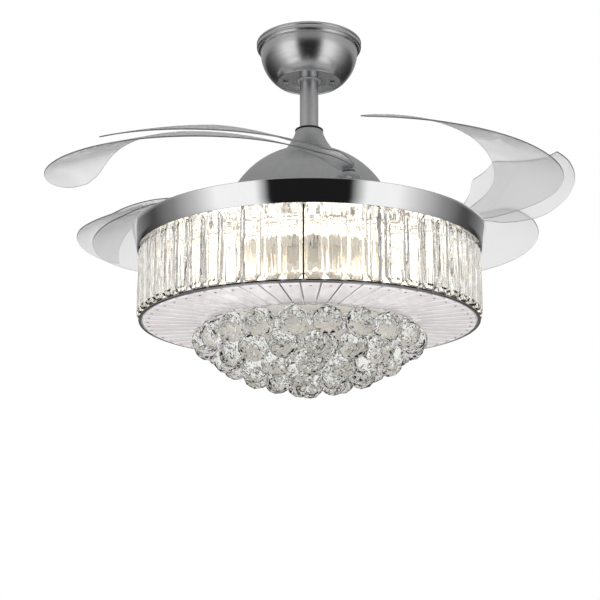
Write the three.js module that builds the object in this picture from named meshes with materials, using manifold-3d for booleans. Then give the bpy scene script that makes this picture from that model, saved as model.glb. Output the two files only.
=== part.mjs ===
// Retractable blade ceiling fan with a crystal lamp, in millimetres, +Z up.
// The origin is the centre of the ceiling face, and everything hangs down from it.
import * as THREE from "three";
import { mergeVertices } from "three/addons/utils/BufferGeometryUtils.js";
import Module from "manifold-3d";

const wasm = await Module();
wasm.setup();

// ---------------------------------------------------------------- driving dimensions
const GAP = 0.3; // clearance between pieces that touch
const ROUND = 20; // sides of a large round piece
const SMALL_ROUND = 8; // sides of a small round piece
const FINE_ROUND = 40; // sides of the lamp's large rings
const CUT = 1; // how far a cutter reaches past the faces it goes through

// ceiling fitting
const PLATE_LENGTH = 104;
const PLATE_WIDTH = 38;
const PLATE_THICKNESS = 3;
const ARM_OFFSET = 41;
const ARM_THICKNESS = 2.5;
const ARM_WIDTH = 30;
const SEAT_BAR_LENGTH = 82.5;
const SEAT_THICKNESS = 3;
const SEAT_OUTER_RADIUS = 30;
const CEILING_SCREW_SPACING = 84;
const CEILING_SCREW_RADIUS = 2.6;
const CANOPY_RIM_RADIUS = 77;
const CANOPY_BODY_RADIUS = 71;
const CANOPY_RIM_HEIGHT = 15;
const CANOPY_BOTTOM_RADIUS = 46;
const CANOPY_HEIGHT = 62;
const CANOPY_WALL = 1.2;
const CANOPY_HOLE_RADIUS = 23;
const BOWL_FULLNESS = 1.6; // a lower number makes the bowl rounder
const RIM_GROOVE_DEPTH = 1.2;
const CANOPY_SCREW_OFFSET = 34;
const CANOPY_SCREW_RADIUS = 2;
const CANOPY_SCREW_HEAD_RADIUS = 4;
const CANOPY_SCREW_HEAD_HEIGHT = 2.4;
const CANOPY_SCREW_END = 3; // of the screw past the bracket's seat
const KEYHOLE_LENGTH = 9;
const RECEIVER_LENGTH = 62;
const RECEIVER_WIDTH = 30;
const RECEIVER_HEIGHT = 15;
const TERMINAL_LENGTH = 28;
const TERMINAL_WIDTH = 11;
const TERMINAL_HEIGHT = 9;

// rod and its ends
const BALL_RADIUS = 24;
const BALL_DROP = 44; // from the ceiling to the centre of the ball
const BALL_HALF_HEIGHT = 17;
const ROD_RADIUS = 13.5;
const ROD_WALL = 2.2;
const ROD_SHOWING = 76; // from the canopy to the coupling cover
const PIN_RADIUS = 3;
const BALL_PIN_INSET = 2; // of the pin's ends below the ball's surface
const COUPLING_RADIUS = 17.5;
const COUPLING_HEIGHT = 27;
const ROD_SOCKET_DEPTH = 17;
const GASKET_HEIGHT = 2.6;
const GASKET_RADIUS = 20.5;
const COVER_TOP_RADIUS = 20;
const COVER_BOTTOM_RADIUS = 38;
const COVER_HEIGHT = 33.5;
const COVER_WALL = 1.2;
const COVER_TO_DOME = 0.8;

// motor
const SHAFT_RADIUS = 8;
const SHAFT_BORE_RADIUS = 5;
const DOME_RADIUS = 123.6;
const DOME_HEIGHT = 98; // from the coupling cover to the dome's lower edge
const DOME_WALL = 2;
const BEARING_RADIUS = 13;
const BEARING_HEIGHT = 8;
const BEARING_STEP = 1; // how far a bearing stands in from the mouth of its seat
const BEARING_BOSS_RADIUS = 19;
const BEARING_BOSS_HEIGHT = 12;
const ROTOR_PLATE_THICKNESS = 3;
const MAGNET_RADIUS = 88;
const MAGNET_THICKNESS = 5.5;
const MAGNET_HEIGHT = 30;
const MAGNET_RING_WALL = 3;
const MAGNET_RING_HEIGHT = 48;
const STATOR_HEIGHT = 26;
const STATOR_TEETH = 12;
const STATOR_CORE_RADIUS = 46;
const STATOR_FACE_RADIUS = 79.5;
const TOOTH_WIDTH = 11;
const TOOTH_TIP_DEPTH = 6;
const TOOTH_TIP_WIDTH = 28.6;
const JOIN = 1; // how far a piece of a body reaches into the next piece of it
const WINDING_WALL = 3.4;
const LEAD_RING_WIDTH = 8;
const LEAD_RING_HEIGHT = 1.4;

// blade carrier, pivots and springs
const CARRIER_THICKNESS = 3;
const CARRIER_DISC_RADIUS = 118;
const CARRIER_ARM_WIDTH = 30;
const CARRIER_BORE_RADIUS = 22;
const PIVOT_CIRCLE_RADIUS = 192; // also the leaves' curve, so that they close round the motor
const FIRST_PIVOT_ANGLE = 285; // degrees, of the pin of the blade that points to the left
const BLADES = 4;
const PIVOT_PIN_RADIUS = 4;
const PIVOT_HEAD_RADIUS = 6;
const PIVOT_HEAD_HEIGHT = 1.2;
const SPRING_WIRE_RADIUS = 0.7;
const SPRING_RADIUS = 6;
const SPRING_TURNS = 2;
const SPRING_HEIGHT = 4.4;

// blades: each has a main leaf and a shorter auxiliary leaf on the same pin
const MAIN_LENGTH = 545;
const MAIN_WIDTH = 106;
const MAIN_SWELL = 0.6; // share of the length at which the leaf reaches its full width
const MAIN_TIP_SHARE = 0.335; // share of the length over which its end is rounded
const MAIN_END_SHARE = 0.03; // width of its very end as a share of its full width
const MAIN_HEADING = -43; // degrees between the open leaf's root and the pin's radius
const MAIN_SLANT = 0; // how much shorter a leaf's inner edge is, measured round its middle line
const AUXILIARY_LENGTH = 330;
const AUXILIARY_WIDTH = 102;
const AUXILIARY_SWELL = 0.47;
const AUXILIARY_TIP_SHARE = 0.08;
const AUXILIARY_END_SHARE = 0.9;
const AUXILIARY_HEADING = -39.5;
const AUXILIARY_SLANT = 112;
const LEAF_ROOT_WIDTH = 20;
const LEAF_SLOPE = 0.046; // rise along a leaf, so that the closed leaves lie one over another
const LEAF_PITCH = 0.45; // slope across a leaf, its outer edge lower
const LEAF_FLAT_LENGTH = 25; // from the pin to where the leaf starts to twist to its pitch
const LEAF_TWIST_LENGTH = 60;
const LEAF_THICKNESS = 1.6;
const LEAF_HUB_RADIUS = 9;
const LEAF_HUB_HEIGHT = 4.3;
const LEAF_STATIONS = 14;

// lamp drum
const LAMP_GAP = 22.7; // from the blade carrier to the top of the lamp
const BAND_TOP_RADIUS = 250;
const BAND_BOTTOM_RADIUS = 242.25;
const BAND_HEIGHT = 29.25;
const BAND_WALL = 1.5;
const BAND_LIP_DEPTH = 8;
const BASE_PLATE_THICKNESS = 2;
const BASE_PLATE_RECESS = 2.2;
const NUT_RADIUS = 15;
const NUT_HEIGHT = 8;
const SHAFT_END = 3;
const DRUM_HEIGHT = 130.5; // from the top of the band to the trim ring's lower edge
const TRIM_SETBACK = 3; // from the prisms' faces in to the trim ring's outside
const TRIM_WIDTH = 4;
const TRIM_HEIGHT = 5;
const PRISMS = 56;
const PRISM_WIDTH = 24.6;
const PRISM_DEPTH = 8;
const PRISM_BEVEL = 3;
const PRISM_TIP = 7;
const PRISM_END_SHARE = 0.55; // size of a prism's pointed ends as a share of its middle
const PRISM_SETBACK = 1.75; // from the band's foot in to the prisms' faces
const HOOP_WIDTH = 2;
const HOOP_HEIGHT = 3;
const PAN_THICKNESS = 1.5;
const PAN_BORE_RADIUS = 140;
const POST_INSET = 9.2; // from the pan's edge in to the posts
const POSTS = 8;
const POST_RADIUS = 2.5;
const STRIP_EDGE_GAP = 1.5; // between the strips' outer ends and the trim ring
const STRIP_OVERHANG = 2; // of the strips' inner ends past the pan's bore
const STRIP_BEVEL = 1;
const STRIP_OUTER_WIDTH = 21;
const STRIP_INNER_WIDTH = 13.5;
const STRIP_THICKNESS = 4;
const STRIP_HOOP_THICKNESS = 0.8;
const LED_BOARD_OUTER_RADIUS = 212;
const LED_BOARD_INNER_RADIUS = 120;
const LED_BOARD_THICKNESS = 1.6;
const DRIVER_LENGTH = 96;
const DRIVER_WIDTH = 44;
const DRIVER_HEIGHT = 24;
const DRIVER_OFFSET = 62;
const DIFFUSER_LAP = 10; // of the diffuser on the pan's inner edge
const DIFFUSER_THICKNESS = 3;

// crystal balls, tier by tier from the outside in: how many stems, how far out and how low as shares
// of the cluster's radius and depth, and how many balls hang one above another on a stem
const CRYSTAL_RADIUS = 21.5;
const CRYSTAL_SPACING = 44; // between the balls of one stem
const STEM_RADIUS = 0.9;
const STEM_SIDES = 3;
const STEM_HOOP_WIDTH = 3;
const STEM_HOOP_HEIGHT = 2;
const CLUSTER_SPREAD = 4; // of the outermost stems past the pan's bore
const CLUSTER_DEPTH = 82; // from the strips to the centre of the lowest ball
const CRYSTAL_TIERS = [
  { count: 20, spread: 1, drop: 0.29, balls: 1 },
  { count: 15, spread: 0.785, drop: 0.575, balls: 1 },
  { count: 10, spread: 0.535, drop: 0.785, balls: 2 },
  { count: 5, spread: 0.285, drop: 0.9, balls: 2 },
  { count: 1, spread: 0, drop: 1, balls: 2 },
];

// ---------------------------------------------------------------- heights from the ceiling down, and radii
const canopyBottomZ = -CANOPY_HEIGHT;
const ballZ = -BALL_DROP;
const coverTopZ = canopyBottomZ - ROD_SHOWING;
const coverBottomZ = coverTopZ - COVER_HEIGHT;
const couplingTopZ = coverTopZ - COVER_WALL - GAP;
const couplingBottomZ = couplingTopZ - COUPLING_HEIGHT;
const rodBottomZ = couplingTopZ - ROD_SOCKET_DEPTH;
const shaftTopZ = rodBottomZ - 2 * GAP;
const domeCentreZ =
  coverBottomZ - COVER_TO_DOME - Math.sqrt(DOME_RADIUS ** 2 - COVER_BOTTOM_RADIUS ** 2);
const domeBottomZ = coverBottomZ - DOME_HEIGHT;
const rotorPlateTopZ = domeBottomZ + ROTOR_PLATE_THICKNESS;
const carrierTopZ = domeBottomZ - GAP;
const carrierBottomZ = carrierTopZ - CARRIER_THICKNESS;
const springBottomZ = carrierTopZ + GAP;
const hubBottomZ = springBottomZ + SPRING_HEIGHT + GAP;
const leafZ = hubBottomZ + LEAF_HUB_HEIGHT / 2;
const auxiliaryRise = LEAF_HUB_HEIGHT + GAP;
const pinTopZ = hubBottomZ + 2 * LEAF_HUB_HEIGHT + 2 * GAP;
const bandTopZ = carrierBottomZ - LAMP_GAP;
const bandBottomZ = bandTopZ - BAND_HEIGHT;
const basePlateTopZ = bandTopZ - BASE_PLATE_RECESS;
const basePlateBottomZ = basePlateTopZ - BASE_PLATE_THICKNESS;
const nutTopZ = basePlateBottomZ - GAP;
const shaftBottomZ = nutTopZ - NUT_HEIGHT - SHAFT_END;
const trimBottomZ = bandTopZ - DRUM_HEIGHT;
const trimTopZ = trimBottomZ + TRIM_HEIGHT;
const prismTopZ = bandBottomZ - GAP;
const prismBottomZ = trimTopZ + GAP;
const panTopZ = trimTopZ - GAP;
const panBottomZ = panTopZ - PAN_THICKNESS;
const stripTopZ = panBottomZ - GAP;
const diffuserBottomZ = panTopZ + GAP;
const stemTopZ = diffuserBottomZ - GAP;
const prismOuterRadius = BAND_BOTTOM_RADIUS - PRISM_SETBACK;
const trimRadius = prismOuterRadius - TRIM_SETBACK;
const panRadius = trimRadius - TRIM_WIDTH - GAP;
const stripOuterRadius = trimRadius - TRIM_WIDTH - STRIP_EDGE_GAP;
const stripInnerRadius = PAN_BORE_RADIUS - STRIP_OVERHANG;
const clusterRadius = PAN_BORE_RADIUS + CLUSTER_SPREAD;
const statorCentreZ = rotorPlateTopZ + MAGNET_RING_HEIGHT - MAGNET_HEIGHT / 2;

// ---------------------------------------------------------------- geometry helpers
const radians = (degrees) => (degrees * Math.PI) / 180;

// a closed three.js geometry as a solid that can be joined and cut
function solid(geometry) {
  const bare = geometry.clone();
  bare.deleteAttribute("normal");
  bare.deleteAttribute("uv");
  const merged = mergeVertices(bare, 1e-4);
  const triVerts = [];
  const index = merged.index.array;
  for (let i = 0; i < index.length; i += 3) {
    const [a, b, c] = [index[i], index[i + 1], index[i + 2]];
    if (a !== b && b !== c && a !== c) triVerts.push(a, b, c);
  }
  const vertProperties = new Float32Array(merged.attributes.position.array);
  const made = new wasm.Manifold(
    new wasm.Mesh({ numProp: 3, vertProperties, triVerts: new Uint32Array(triVerts) }),
  );
  if (made.volume() > 0) return made;
  const turned = [];
  for (let i = 0; i < triVerts.length; i += 3)
    turned.push(triVerts[i], triVerts[i + 2], triVerts[i + 1]);
  return new wasm.Manifold(
    new wasm.Mesh({ numProp: 3, vertProperties, triVerts: new Uint32Array(turned) }),
  );
}

const joined = (solids) => solids.reduce((whole, piece) => whole.add(piece));

function geometryOf(made) {
  const mesh = made.getMesh();
  const geometry = new THREE.BufferGeometry();
  geometry.setAttribute("position", new THREE.BufferAttribute(mesh.vertProperties, 3));
  geometry.setIndex(new THREE.BufferAttribute(mesh.triVerts, 1));
  const flat = geometry.toNonIndexed();
  flat.computeVertexNormals();
  return flat;
}

// a solid turned round the Z axis from [radius, z] points that start and end on the axis or meet
function turned(points, sides = ROUND) {
  const geometry = new THREE.LatheGeometry(
    points.map(([radius, z]) => new THREE.Vector2(radius, z)),
    sides,
  );
  return solid(geometry.rotateX(Math.PI / 2));
}

function ring(innerRadius, outerRadius, bottomZ, topZ, sides = ROUND) {
  return turned(
    [
      [innerRadius, bottomZ],
      [outerRadius, bottomZ],
      [outerRadius, topZ],
      [innerRadius, topZ],
      [innerRadius, bottomZ],
    ],
    sides,
  );
}

function disc(radius, bottomZ, topZ, sides = ROUND) {
  return turned(
    [
      [0, bottomZ],
      [radius, bottomZ],
      [radius, topZ],
      [0, topZ],
    ],
    sides,
  );
}

// a cutter whose flats, not its corners, stand at the radius, for a hole that turns on a pin
function bore(radius, bottomZ, topZ, sides = ROUND) {
  return disc(radius / Math.cos(Math.PI / sides), bottomZ, topZ, sides);
}

function box(sizeX, sizeY, sizeZ, x, y, z) {
  return solid(new THREE.BoxGeometry(sizeX, sizeY, sizeZ).translate(x, y, z));
}

// a round bar along Y
function crossBar(radius, length, z, sides = SMALL_ROUND) {
  return solid(new THREE.CylinderGeometry(radius, radius, length, sides).translate(0, 0, z));
}

function extruded(shape, bottomZ, height, curveSegments = 10) {
  const geometry = new THREE.ExtrudeGeometry(shape, {
    depth: height,
    bevelEnabled: false,
    curveSegments,
  });
  return solid(geometry.translate(0, 0, bottomZ));
}

// a solid through rings of points, each ring convex and with as many points as the others
function lofted(rings) {
  const sides = rings[0].length;
  const positions = rings.flat().flat();
  const index = [];
  for (let r = 0; r + 1 < rings.length; r += 1)
    for (let s = 0; s < sides; s += 1) {
      const next = (s + 1) % sides;
      const [a, b, c, d] = [
        r * sides + s,
        r * sides + next,
        (r + 1) * sides + next,
        (r + 1) * sides + s,
      ];
      index.push(a, b, c, a, c, d);
    }
  const last = (rings.length - 1) * sides;
  for (let s = 1; s + 1 < sides; s += 1) {
    index.push(0, s + 1, s);
    index.push(last, last + s, last + s + 1);
  }
  const geometry = new THREE.BufferGeometry();
  geometry.setAttribute("position", new THREE.Float32BufferAttribute(positions, 3));
  geometry.setIndex(index);
  return solid(geometry);
}

// ---------------------------------------------------------------- materials
const finish = (color, roughness, metalness, opacity = 1) =>
  new THREE.MeshStandardMaterial({
    color,
    roughness,
    metalness,
    opacity,
    transparent: opacity < 1,
  });
const brushedNickel = finish(0xa9a6a2, 0.35, 1);
const satinGrey = finish(0xa4a4a6, 0.45, 0.7);
const chrome = finish(0xd9dadc, 0.08, 1);
const zincSteel = finish(0x9aa0a4, 0.4, 0.9);
const blackRubber = finish(0x151515, 0.8, 0);
const blackPlastic = finish(0x222325, 0.6, 0);
const whitePlastic = finish(0xe8e6e0, 0.5, 0);
const copper = finish(0xb06a3c, 0.35, 0.9);
const laminatedSteel = finish(0x5e6163, 0.5, 0.8);
const magnetGrey = finish(0x3c3d40, 0.5, 0.5);
const whiteSteel = finish(0xe4e4e2, 0.5, 0.2);
const clearPlastic = finish(0xd6dadc, 0.1, 0, 0.4);
const crystal = finish(0xf2f0ea, 0.05, 0, 0.5);
const frosted = finish(0xfff4dc, 0.6, 0, 0.8);

const fan = new THREE.Group();
fan.name = "retractable_blade_ceiling_fan";

function add(name, made, material) {
  const mesh = new THREE.Mesh(geometryOf(made), material);
  mesh.name = name;
  fan.add(mesh);
  return mesh;
}

// ---------------------------------------------------------------- ceiling fitting
const seatTopZ = canopyBottomZ + CANOPY_WALL + GAP + SEAT_THICKNESS;
const seatBottomZ = seatTopZ - SEAT_THICKNESS;
// the flats of the seat's hollow stay clear of the ball's corners when the ball tilts
const seatRadius = (BALL_RADIUS + GAP) / Math.cos(Math.PI / ROUND) ** 2;
const ballClearance = solid(
  new THREE.SphereGeometry(seatRadius, ROUND, ROUND / 2).rotateX(Math.PI / 2),
).translate([0, 0, ballZ]);
const armHeight = -PLATE_THICKNESS / 2 - (seatTopZ - SEAT_THICKNESS / 2);
const arms = [-1, 1].map((side) =>
  box(
    ARM_THICKNESS,
    ARM_WIDTH,
    armHeight,
    side * ARM_OFFSET,
    0,
    -PLATE_THICKNESS / 2 - armHeight / 2,
  ),
);
const ceilingScrewHoles = [-1, 1].map((side) =>
  disc(CEILING_SCREW_RADIUS, -PLATE_THICKNESS - CUT, CUT, SMALL_ROUND).translate([
    (side * CEILING_SCREW_SPACING) / 2,
    PLATE_WIDTH / 3,
    0,
  ]),
);
const canopyScrewHoles = [-1, 1].map((side) =>
  disc(CANOPY_SCREW_RADIUS + GAP, seatBottomZ - CUT, seatTopZ + CUT, SMALL_ROUND).translate([
    side * CANOPY_SCREW_OFFSET,
    0,
    0,
  ]),
);
const bracket = joined([
  box(PLATE_LENGTH, PLATE_WIDTH, PLATE_THICKNESS, 0, 0, -PLATE_THICKNESS / 2),
  ...arms,
  box(SEAT_BAR_LENGTH, ARM_WIDTH, SEAT_THICKNESS, 0, 0, seatTopZ - SEAT_THICKNESS / 2),
  disc(SEAT_OUTER_RADIUS, seatBottomZ, seatTopZ),
]);
add(
  "hanger_bracket",
  [ballClearance, ...ceilingScrewHoles, ...canopyScrewHoles].reduce(
    (whole, cut) => whole.subtract(cut),
    bracket,
  ),
  zincSteel,
);

// the bowl's outside runs in one curve from the body to the flat bottom
const bowlSteps = 5;
const bowlDepth = CANOPY_HEIGHT - CANOPY_RIM_HEIGHT;
const bowlPoints = Array.from({ length: bowlSteps + 1 }, (_, step) => {
  const angle = (step / bowlSteps) * (Math.PI / 2);
  return [
    CANOPY_BOTTOM_RADIUS + (CANOPY_BODY_RADIUS - CANOPY_BOTTOM_RADIUS) * Math.cos(angle) ** BOWL_FULLNESS,
    -CANOPY_RIM_HEIGHT - bowlDepth * Math.sin(angle),
  ];
});
const rimStep = CANOPY_RIM_HEIGHT / 5;
const canopyOutside = [
  [CANOPY_RIM_RADIUS, -GAP],
  [CANOPY_RIM_RADIUS, -GAP - rimStep],
  [CANOPY_RIM_RADIUS - RIM_GROOVE_DEPTH, -GAP - rimStep],
  [CANOPY_RIM_RADIUS - RIM_GROOVE_DEPTH, -GAP - 1.4 * rimStep],
  [CANOPY_RIM_RADIUS, -GAP - 1.4 * rimStep],
  [CANOPY_RIM_RADIUS, -GAP - 3.2 * rimStep],
  [CANOPY_BODY_RADIUS, -GAP - 3.8 * rimStep],
  ...bowlPoints,
];
const canopyInside = bowlPoints
  .map(([radius, z]) => [radius - CANOPY_WALL, z + CANOPY_WALL])
  .reverse();
const canopyShell = turned([
  [CANOPY_HOLE_RADIUS, -CANOPY_HEIGHT],
  ...canopyOutside.slice().reverse(),
  [CANOPY_BODY_RADIUS - CANOPY_WALL, -GAP],
  ...canopyInside.slice().reverse(),
  [CANOPY_HOLE_RADIUS, -CANOPY_HEIGHT + CANOPY_WALL],
  [CANOPY_HOLE_RADIUS, -CANOPY_HEIGHT],
]);
const keyholes = [-1, 1].flatMap((side) => [
  disc(
    CANOPY_SCREW_RADIUS + GAP,
    -CANOPY_HEIGHT - CUT,
    -CANOPY_HEIGHT + CANOPY_WALL + CUT,
    SMALL_ROUND,
  ).translate([side * CANOPY_SCREW_OFFSET, 0, 0]),
  box(
    2 * (CANOPY_SCREW_RADIUS + GAP),
    KEYHOLE_LENGTH,
    CANOPY_WALL + 2 * CUT,
    side * CANOPY_SCREW_OFFSET,
    (side * KEYHOLE_LENGTH) / 2,
    -CANOPY_HEIGHT + CANOPY_WALL / 2,
  ),
  disc(
    CANOPY_SCREW_HEAD_RADIUS + GAP,
    -CANOPY_HEIGHT - CUT,
    -CANOPY_HEIGHT + CANOPY_WALL + CUT,
    SMALL_ROUND,
  ).translate([side * CANOPY_SCREW_OFFSET, side * KEYHOLE_LENGTH, 0]),
]);
add(
  "canopy",
  keyholes.reduce((whole, cut) => whole.subtract(cut), canopyShell),
  brushedNickel,
);

[-1, 1].forEach((side) => {
  const headTopZ = canopyBottomZ - GAP;
  const screw = disc(
    CANOPY_SCREW_HEAD_RADIUS,
    headTopZ - CANOPY_SCREW_HEAD_HEIGHT,
    headTopZ,
    SMALL_ROUND,
  ).add(disc(CANOPY_SCREW_RADIUS, headTopZ - CUT, seatTopZ + CANOPY_SCREW_END, SMALL_ROUND));
  add(
    side < 0 ? "canopy_screw_left" : "canopy_screw_right",
    screw.translate([side * CANOPY_SCREW_OFFSET, 0, 0]),
    zincSteel,
  );
});

const receiverZ = -PLATE_THICKNESS - GAP - RECEIVER_HEIGHT / 2;
add(
  "receiver",
  box(RECEIVER_LENGTH, RECEIVER_WIDTH, RECEIVER_HEIGHT, 0, 0, receiverZ),
  blackPlastic,
);
add(
  "terminal_block",
  box(
    TERMINAL_LENGTH,
    TERMINAL_WIDTH,
    TERMINAL_HEIGHT,
    0,
    RECEIVER_WIDTH / 2 + GAP + TERMINAL_WIDTH / 2,
    -PLATE_THICKNESS - GAP - TERMINAL_HEIGHT / 2,
  ),
  whitePlastic,
);

// ---------------------------------------------------------------- ball, rod and coupling
const ballSteps = 6;
const ballProfile = Array.from({ length: ballSteps + 1 }, (_, step) => {
  const z = -BALL_HALF_HEIGHT + (2 * BALL_HALF_HEIGHT * step) / ballSteps;
  return [Math.sqrt(BALL_RADIUS ** 2 - z ** 2), ballZ + z];
});
const ballBore = ROD_RADIUS + GAP;
const ballBody = turned([
  [ballBore, ballZ - BALL_HALF_HEIGHT],
  ...ballProfile,
  [ballBore, ballZ + BALL_HALF_HEIGHT],
  [ballBore, ballZ - BALL_HALF_HEIGHT],
]);
add("hanger_ball", ballBody.subtract(crossBar(PIN_RADIUS + GAP, 3 * BALL_RADIUS, ballZ)), blackPlastic);

const rodTopZ = ballZ + BALL_HALF_HEIGHT;
const couplingPinZ = (couplingTopZ + rodBottomZ) / 2;
const rod = ring(ROD_RADIUS - ROD_WALL, ROD_RADIUS, rodBottomZ, rodTopZ)
  .subtract(crossBar(PIN_RADIUS + GAP, 3 * ROD_RADIUS, ballZ))
  .subtract(crossBar(PIN_RADIUS + GAP, 3 * ROD_RADIUS, couplingPinZ));
add("downrod", rod, brushedNickel);
add("ball_pin", crossBar(PIN_RADIUS, 2 * (BALL_RADIUS - BALL_PIN_INSET), ballZ), zincSteel);

const coupling = turned([
  [ROD_RADIUS + GAP, couplingTopZ],
  [ROD_RADIUS + GAP, rodBottomZ - GAP],
  [SHAFT_RADIUS + GAP, rodBottomZ - GAP],
  [SHAFT_RADIUS + GAP, couplingBottomZ],
  [COUPLING_RADIUS, couplingBottomZ],
  [COUPLING_RADIUS, couplingTopZ],
  [ROD_RADIUS + GAP, couplingTopZ],
]);
add(
  "motor_coupling",
  coupling.subtract(crossBar(PIN_RADIUS + GAP, 3 * COUPLING_RADIUS, couplingPinZ)),
  zincSteel,
);
add("coupling_pin", crossBar(PIN_RADIUS, 2 * COUPLING_RADIUS, couplingPinZ), zincSteel);

add(
  "rod_gasket",
  ring(ROD_RADIUS + GAP, GASKET_RADIUS, coverTopZ + GAP, coverTopZ + GAP + GASKET_HEIGHT),
  blackRubber,
);

// the cone swings out to its foot in a hollow curve
const coverSteps = 4;
const coverCurve = Array.from({ length: coverSteps + 1 }, (_, step) => {
  const share = step / coverSteps;
  return [
    COVER_TOP_RADIUS + (COVER_BOTTOM_RADIUS - COVER_TOP_RADIUS) * share ** 1.5,
    coverTopZ - COVER_HEIGHT * share,
  ];
});
add(
  "coupling_cover",
  turned([
    [ROD_RADIUS + GAP, coverTopZ - COVER_WALL],
    [ROD_RADIUS + GAP, coverTopZ],
    ...coverCurve,
    [COVER_BOTTOM_RADIUS - COVER_WALL, coverBottomZ],
    ...coverCurve
      .slice(1, -1)
      .map(([radius, z]) => [radius - COVER_WALL, z])
      .reverse(),
    [COVER_TOP_RADIUS - COVER_WALL, coverTopZ - COVER_WALL],
    [ROD_RADIUS + GAP, coverTopZ - COVER_WALL],
  ]),
  satinGrey,
);

// ---------------------------------------------------------------- motor
const domeHeightAt = (radius, sphere = DOME_RADIUS) =>
  domeCentreZ + Math.sqrt(Math.max(sphere ** 2 - radius ** 2, 0));
const domeBoreRadius = BEARING_RADIUS + GAP;
const domeSteps = 6;
const domeEdgeAngle = Math.asin((domeBottomZ - domeCentreZ) / DOME_RADIUS);
const domeArc = (sphere, boreRadius) => {
  const startAngle = Math.acos(boreRadius / sphere);
  const endAngle = Math.asin((domeBottomZ - domeCentreZ) / sphere);
  return Array.from({ length: domeSteps + 1 }, (_, step) => {
    const angle = startAngle + ((endAngle - startAngle) * step) / domeSteps;
    return [sphere * Math.cos(angle), domeCentreZ + sphere * Math.sin(angle)];
  });
};
const innerSphere = DOME_RADIUS - DOME_WALL;
const upperBossBottomZ = domeHeightAt(BEARING_BOSS_RADIUS, innerSphere) - BEARING_BOSS_HEIGHT;
add(
  "motor_dome",
  turned([
    [domeBoreRadius, upperBossBottomZ],
    ...domeArc(DOME_RADIUS, domeBoreRadius),
    ...domeArc(innerSphere, BEARING_BOSS_RADIUS).reverse(),
    [BEARING_BOSS_RADIUS, upperBossBottomZ],
    [domeBoreRadius, upperBossBottomZ],
  ]),
  satinGrey,
);

const upperBearingTopZ = upperBossBottomZ + BEARING_HEIGHT + BEARING_STEP;
add(
  "upper_bearing",
  ring(SHAFT_RADIUS + GAP, BEARING_RADIUS, upperBearingTopZ - BEARING_HEIGHT, upperBearingTopZ),
  zincSteel,
);
const plateEdgeRadius = innerSphere * Math.cos(domeEdgeAngle) - GAP - DOME_WALL / 2;
const lowerBossTopZ = domeBottomZ + BEARING_BOSS_HEIGHT;
const magnetRingTopZ = rotorPlateTopZ + MAGNET_RING_HEIGHT;
const magnetRingInner = MAGNET_RADIUS + GAP;
const magnetRingOuter = magnetRingInner + MAGNET_RING_WALL;
add(
  "rotor_plate",
  turned([
    [domeBoreRadius, domeBottomZ],
    [plateEdgeRadius, domeBottomZ],
    [plateEdgeRadius, rotorPlateTopZ],
    [magnetRingOuter, rotorPlateTopZ],
    [magnetRingOuter, magnetRingTopZ],
    [magnetRingInner, magnetRingTopZ],
    [magnetRingInner, rotorPlateTopZ],
    [BEARING_BOSS_RADIUS, rotorPlateTopZ],
    [BEARING_BOSS_RADIUS, lowerBossTopZ],
    [domeBoreRadius, lowerBossTopZ],
    [domeBoreRadius, domeBottomZ],
  ]),
  zincSteel,
);
add(
  "lower_bearing",
  ring(
    SHAFT_RADIUS + GAP,
    BEARING_RADIUS,
    domeBottomZ + BEARING_STEP,
    domeBottomZ + BEARING_STEP + BEARING_HEIGHT,
  ),
  zincSteel,
);
add(
  "magnet_ring",
  ring(
    MAGNET_RADIUS - MAGNET_THICKNESS,
    MAGNET_RADIUS,
    magnetRingTopZ - MAGNET_HEIGHT,
    magnetRingTopZ,
  ),
  magnetGrey,
);

const statorBottomZ = statorCentreZ - STATOR_HEIGHT / 2;
const toothPitch = (2 * Math.PI) / STATOR_TEETH;
const tipStartRadius = STATOR_FACE_RADIUS - TOOTH_TIP_DEPTH;
const tooth = joined([
  box(
    tipStartRadius - STATOR_CORE_RADIUS + 2 * JOIN,
    TOOTH_WIDTH,
    STATOR_HEIGHT,
    (tipStartRadius + STATOR_CORE_RADIUS) / 2,
    0,
    statorCentreZ,
  ),
  box(
    TOOTH_TIP_DEPTH,
    TOOTH_TIP_WIDTH,
    STATOR_HEIGHT,
    tipStartRadius + TOOTH_TIP_DEPTH / 2,
    0,
    statorCentreZ,
  ),
]);
const teeth = Array.from({ length: STATOR_TEETH }, (_, i) =>
  tooth.rotate([0, 0, (360 / STATOR_TEETH) * i]),
);
const core = ring(
  SHAFT_RADIUS + GAP,
  STATOR_CORE_RADIUS,
  statorBottomZ,
  statorBottomZ + STATOR_HEIGHT,
);
add("stator_core", joined([core, ...teeth]), laminatedSteel);

const coilStartRadius = STATOR_CORE_RADIUS + JOIN;
const coilLength = tipStartRadius - GAP - coilStartRadius;
const coilHoleWidth = TOOTH_WIDTH + 2 * GAP;
const coilHoleHeight = STATOR_HEIGHT + 2 * GAP;
const coilX = coilStartRadius + coilLength / 2;
const coilWidth = Math.min(
  coilHoleWidth + 2 * WINDING_WALL,
  2 * coilStartRadius * Math.tan(toothPitch / 2) - 2 * GAP,
);
const coil = box(
  coilLength,
  coilWidth,
  coilHoleHeight + 2 * WINDING_WALL,
  coilX,
  0,
  statorCentreZ,
).subtract(box(coilLength + 2 * CUT, coilHoleWidth, coilHoleHeight, coilX, 0, statorCentreZ));
const coilTopZ = statorCentreZ + coilHoleHeight / 2;
const coils = Array.from({ length: STATOR_TEETH }, (_, i) =>
  coil.rotate([0, 0, (360 / STATOR_TEETH) * i]),
);
const leadRing = ring(
  coilX - LEAD_RING_WIDTH / 2,
  coilX + LEAD_RING_WIDTH / 2,
  coilTopZ + WINDING_WALL - JOIN,
  coilTopZ + WINDING_WALL + LEAD_RING_HEIGHT,
);
add("stator_windings", joined([leadRing, ...coils]), copper);

add(
  "motor_shaft",
  ring(SHAFT_BORE_RADIUS, SHAFT_RADIUS, shaftBottomZ, shaftTopZ),
  zincSteel,
);

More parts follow.
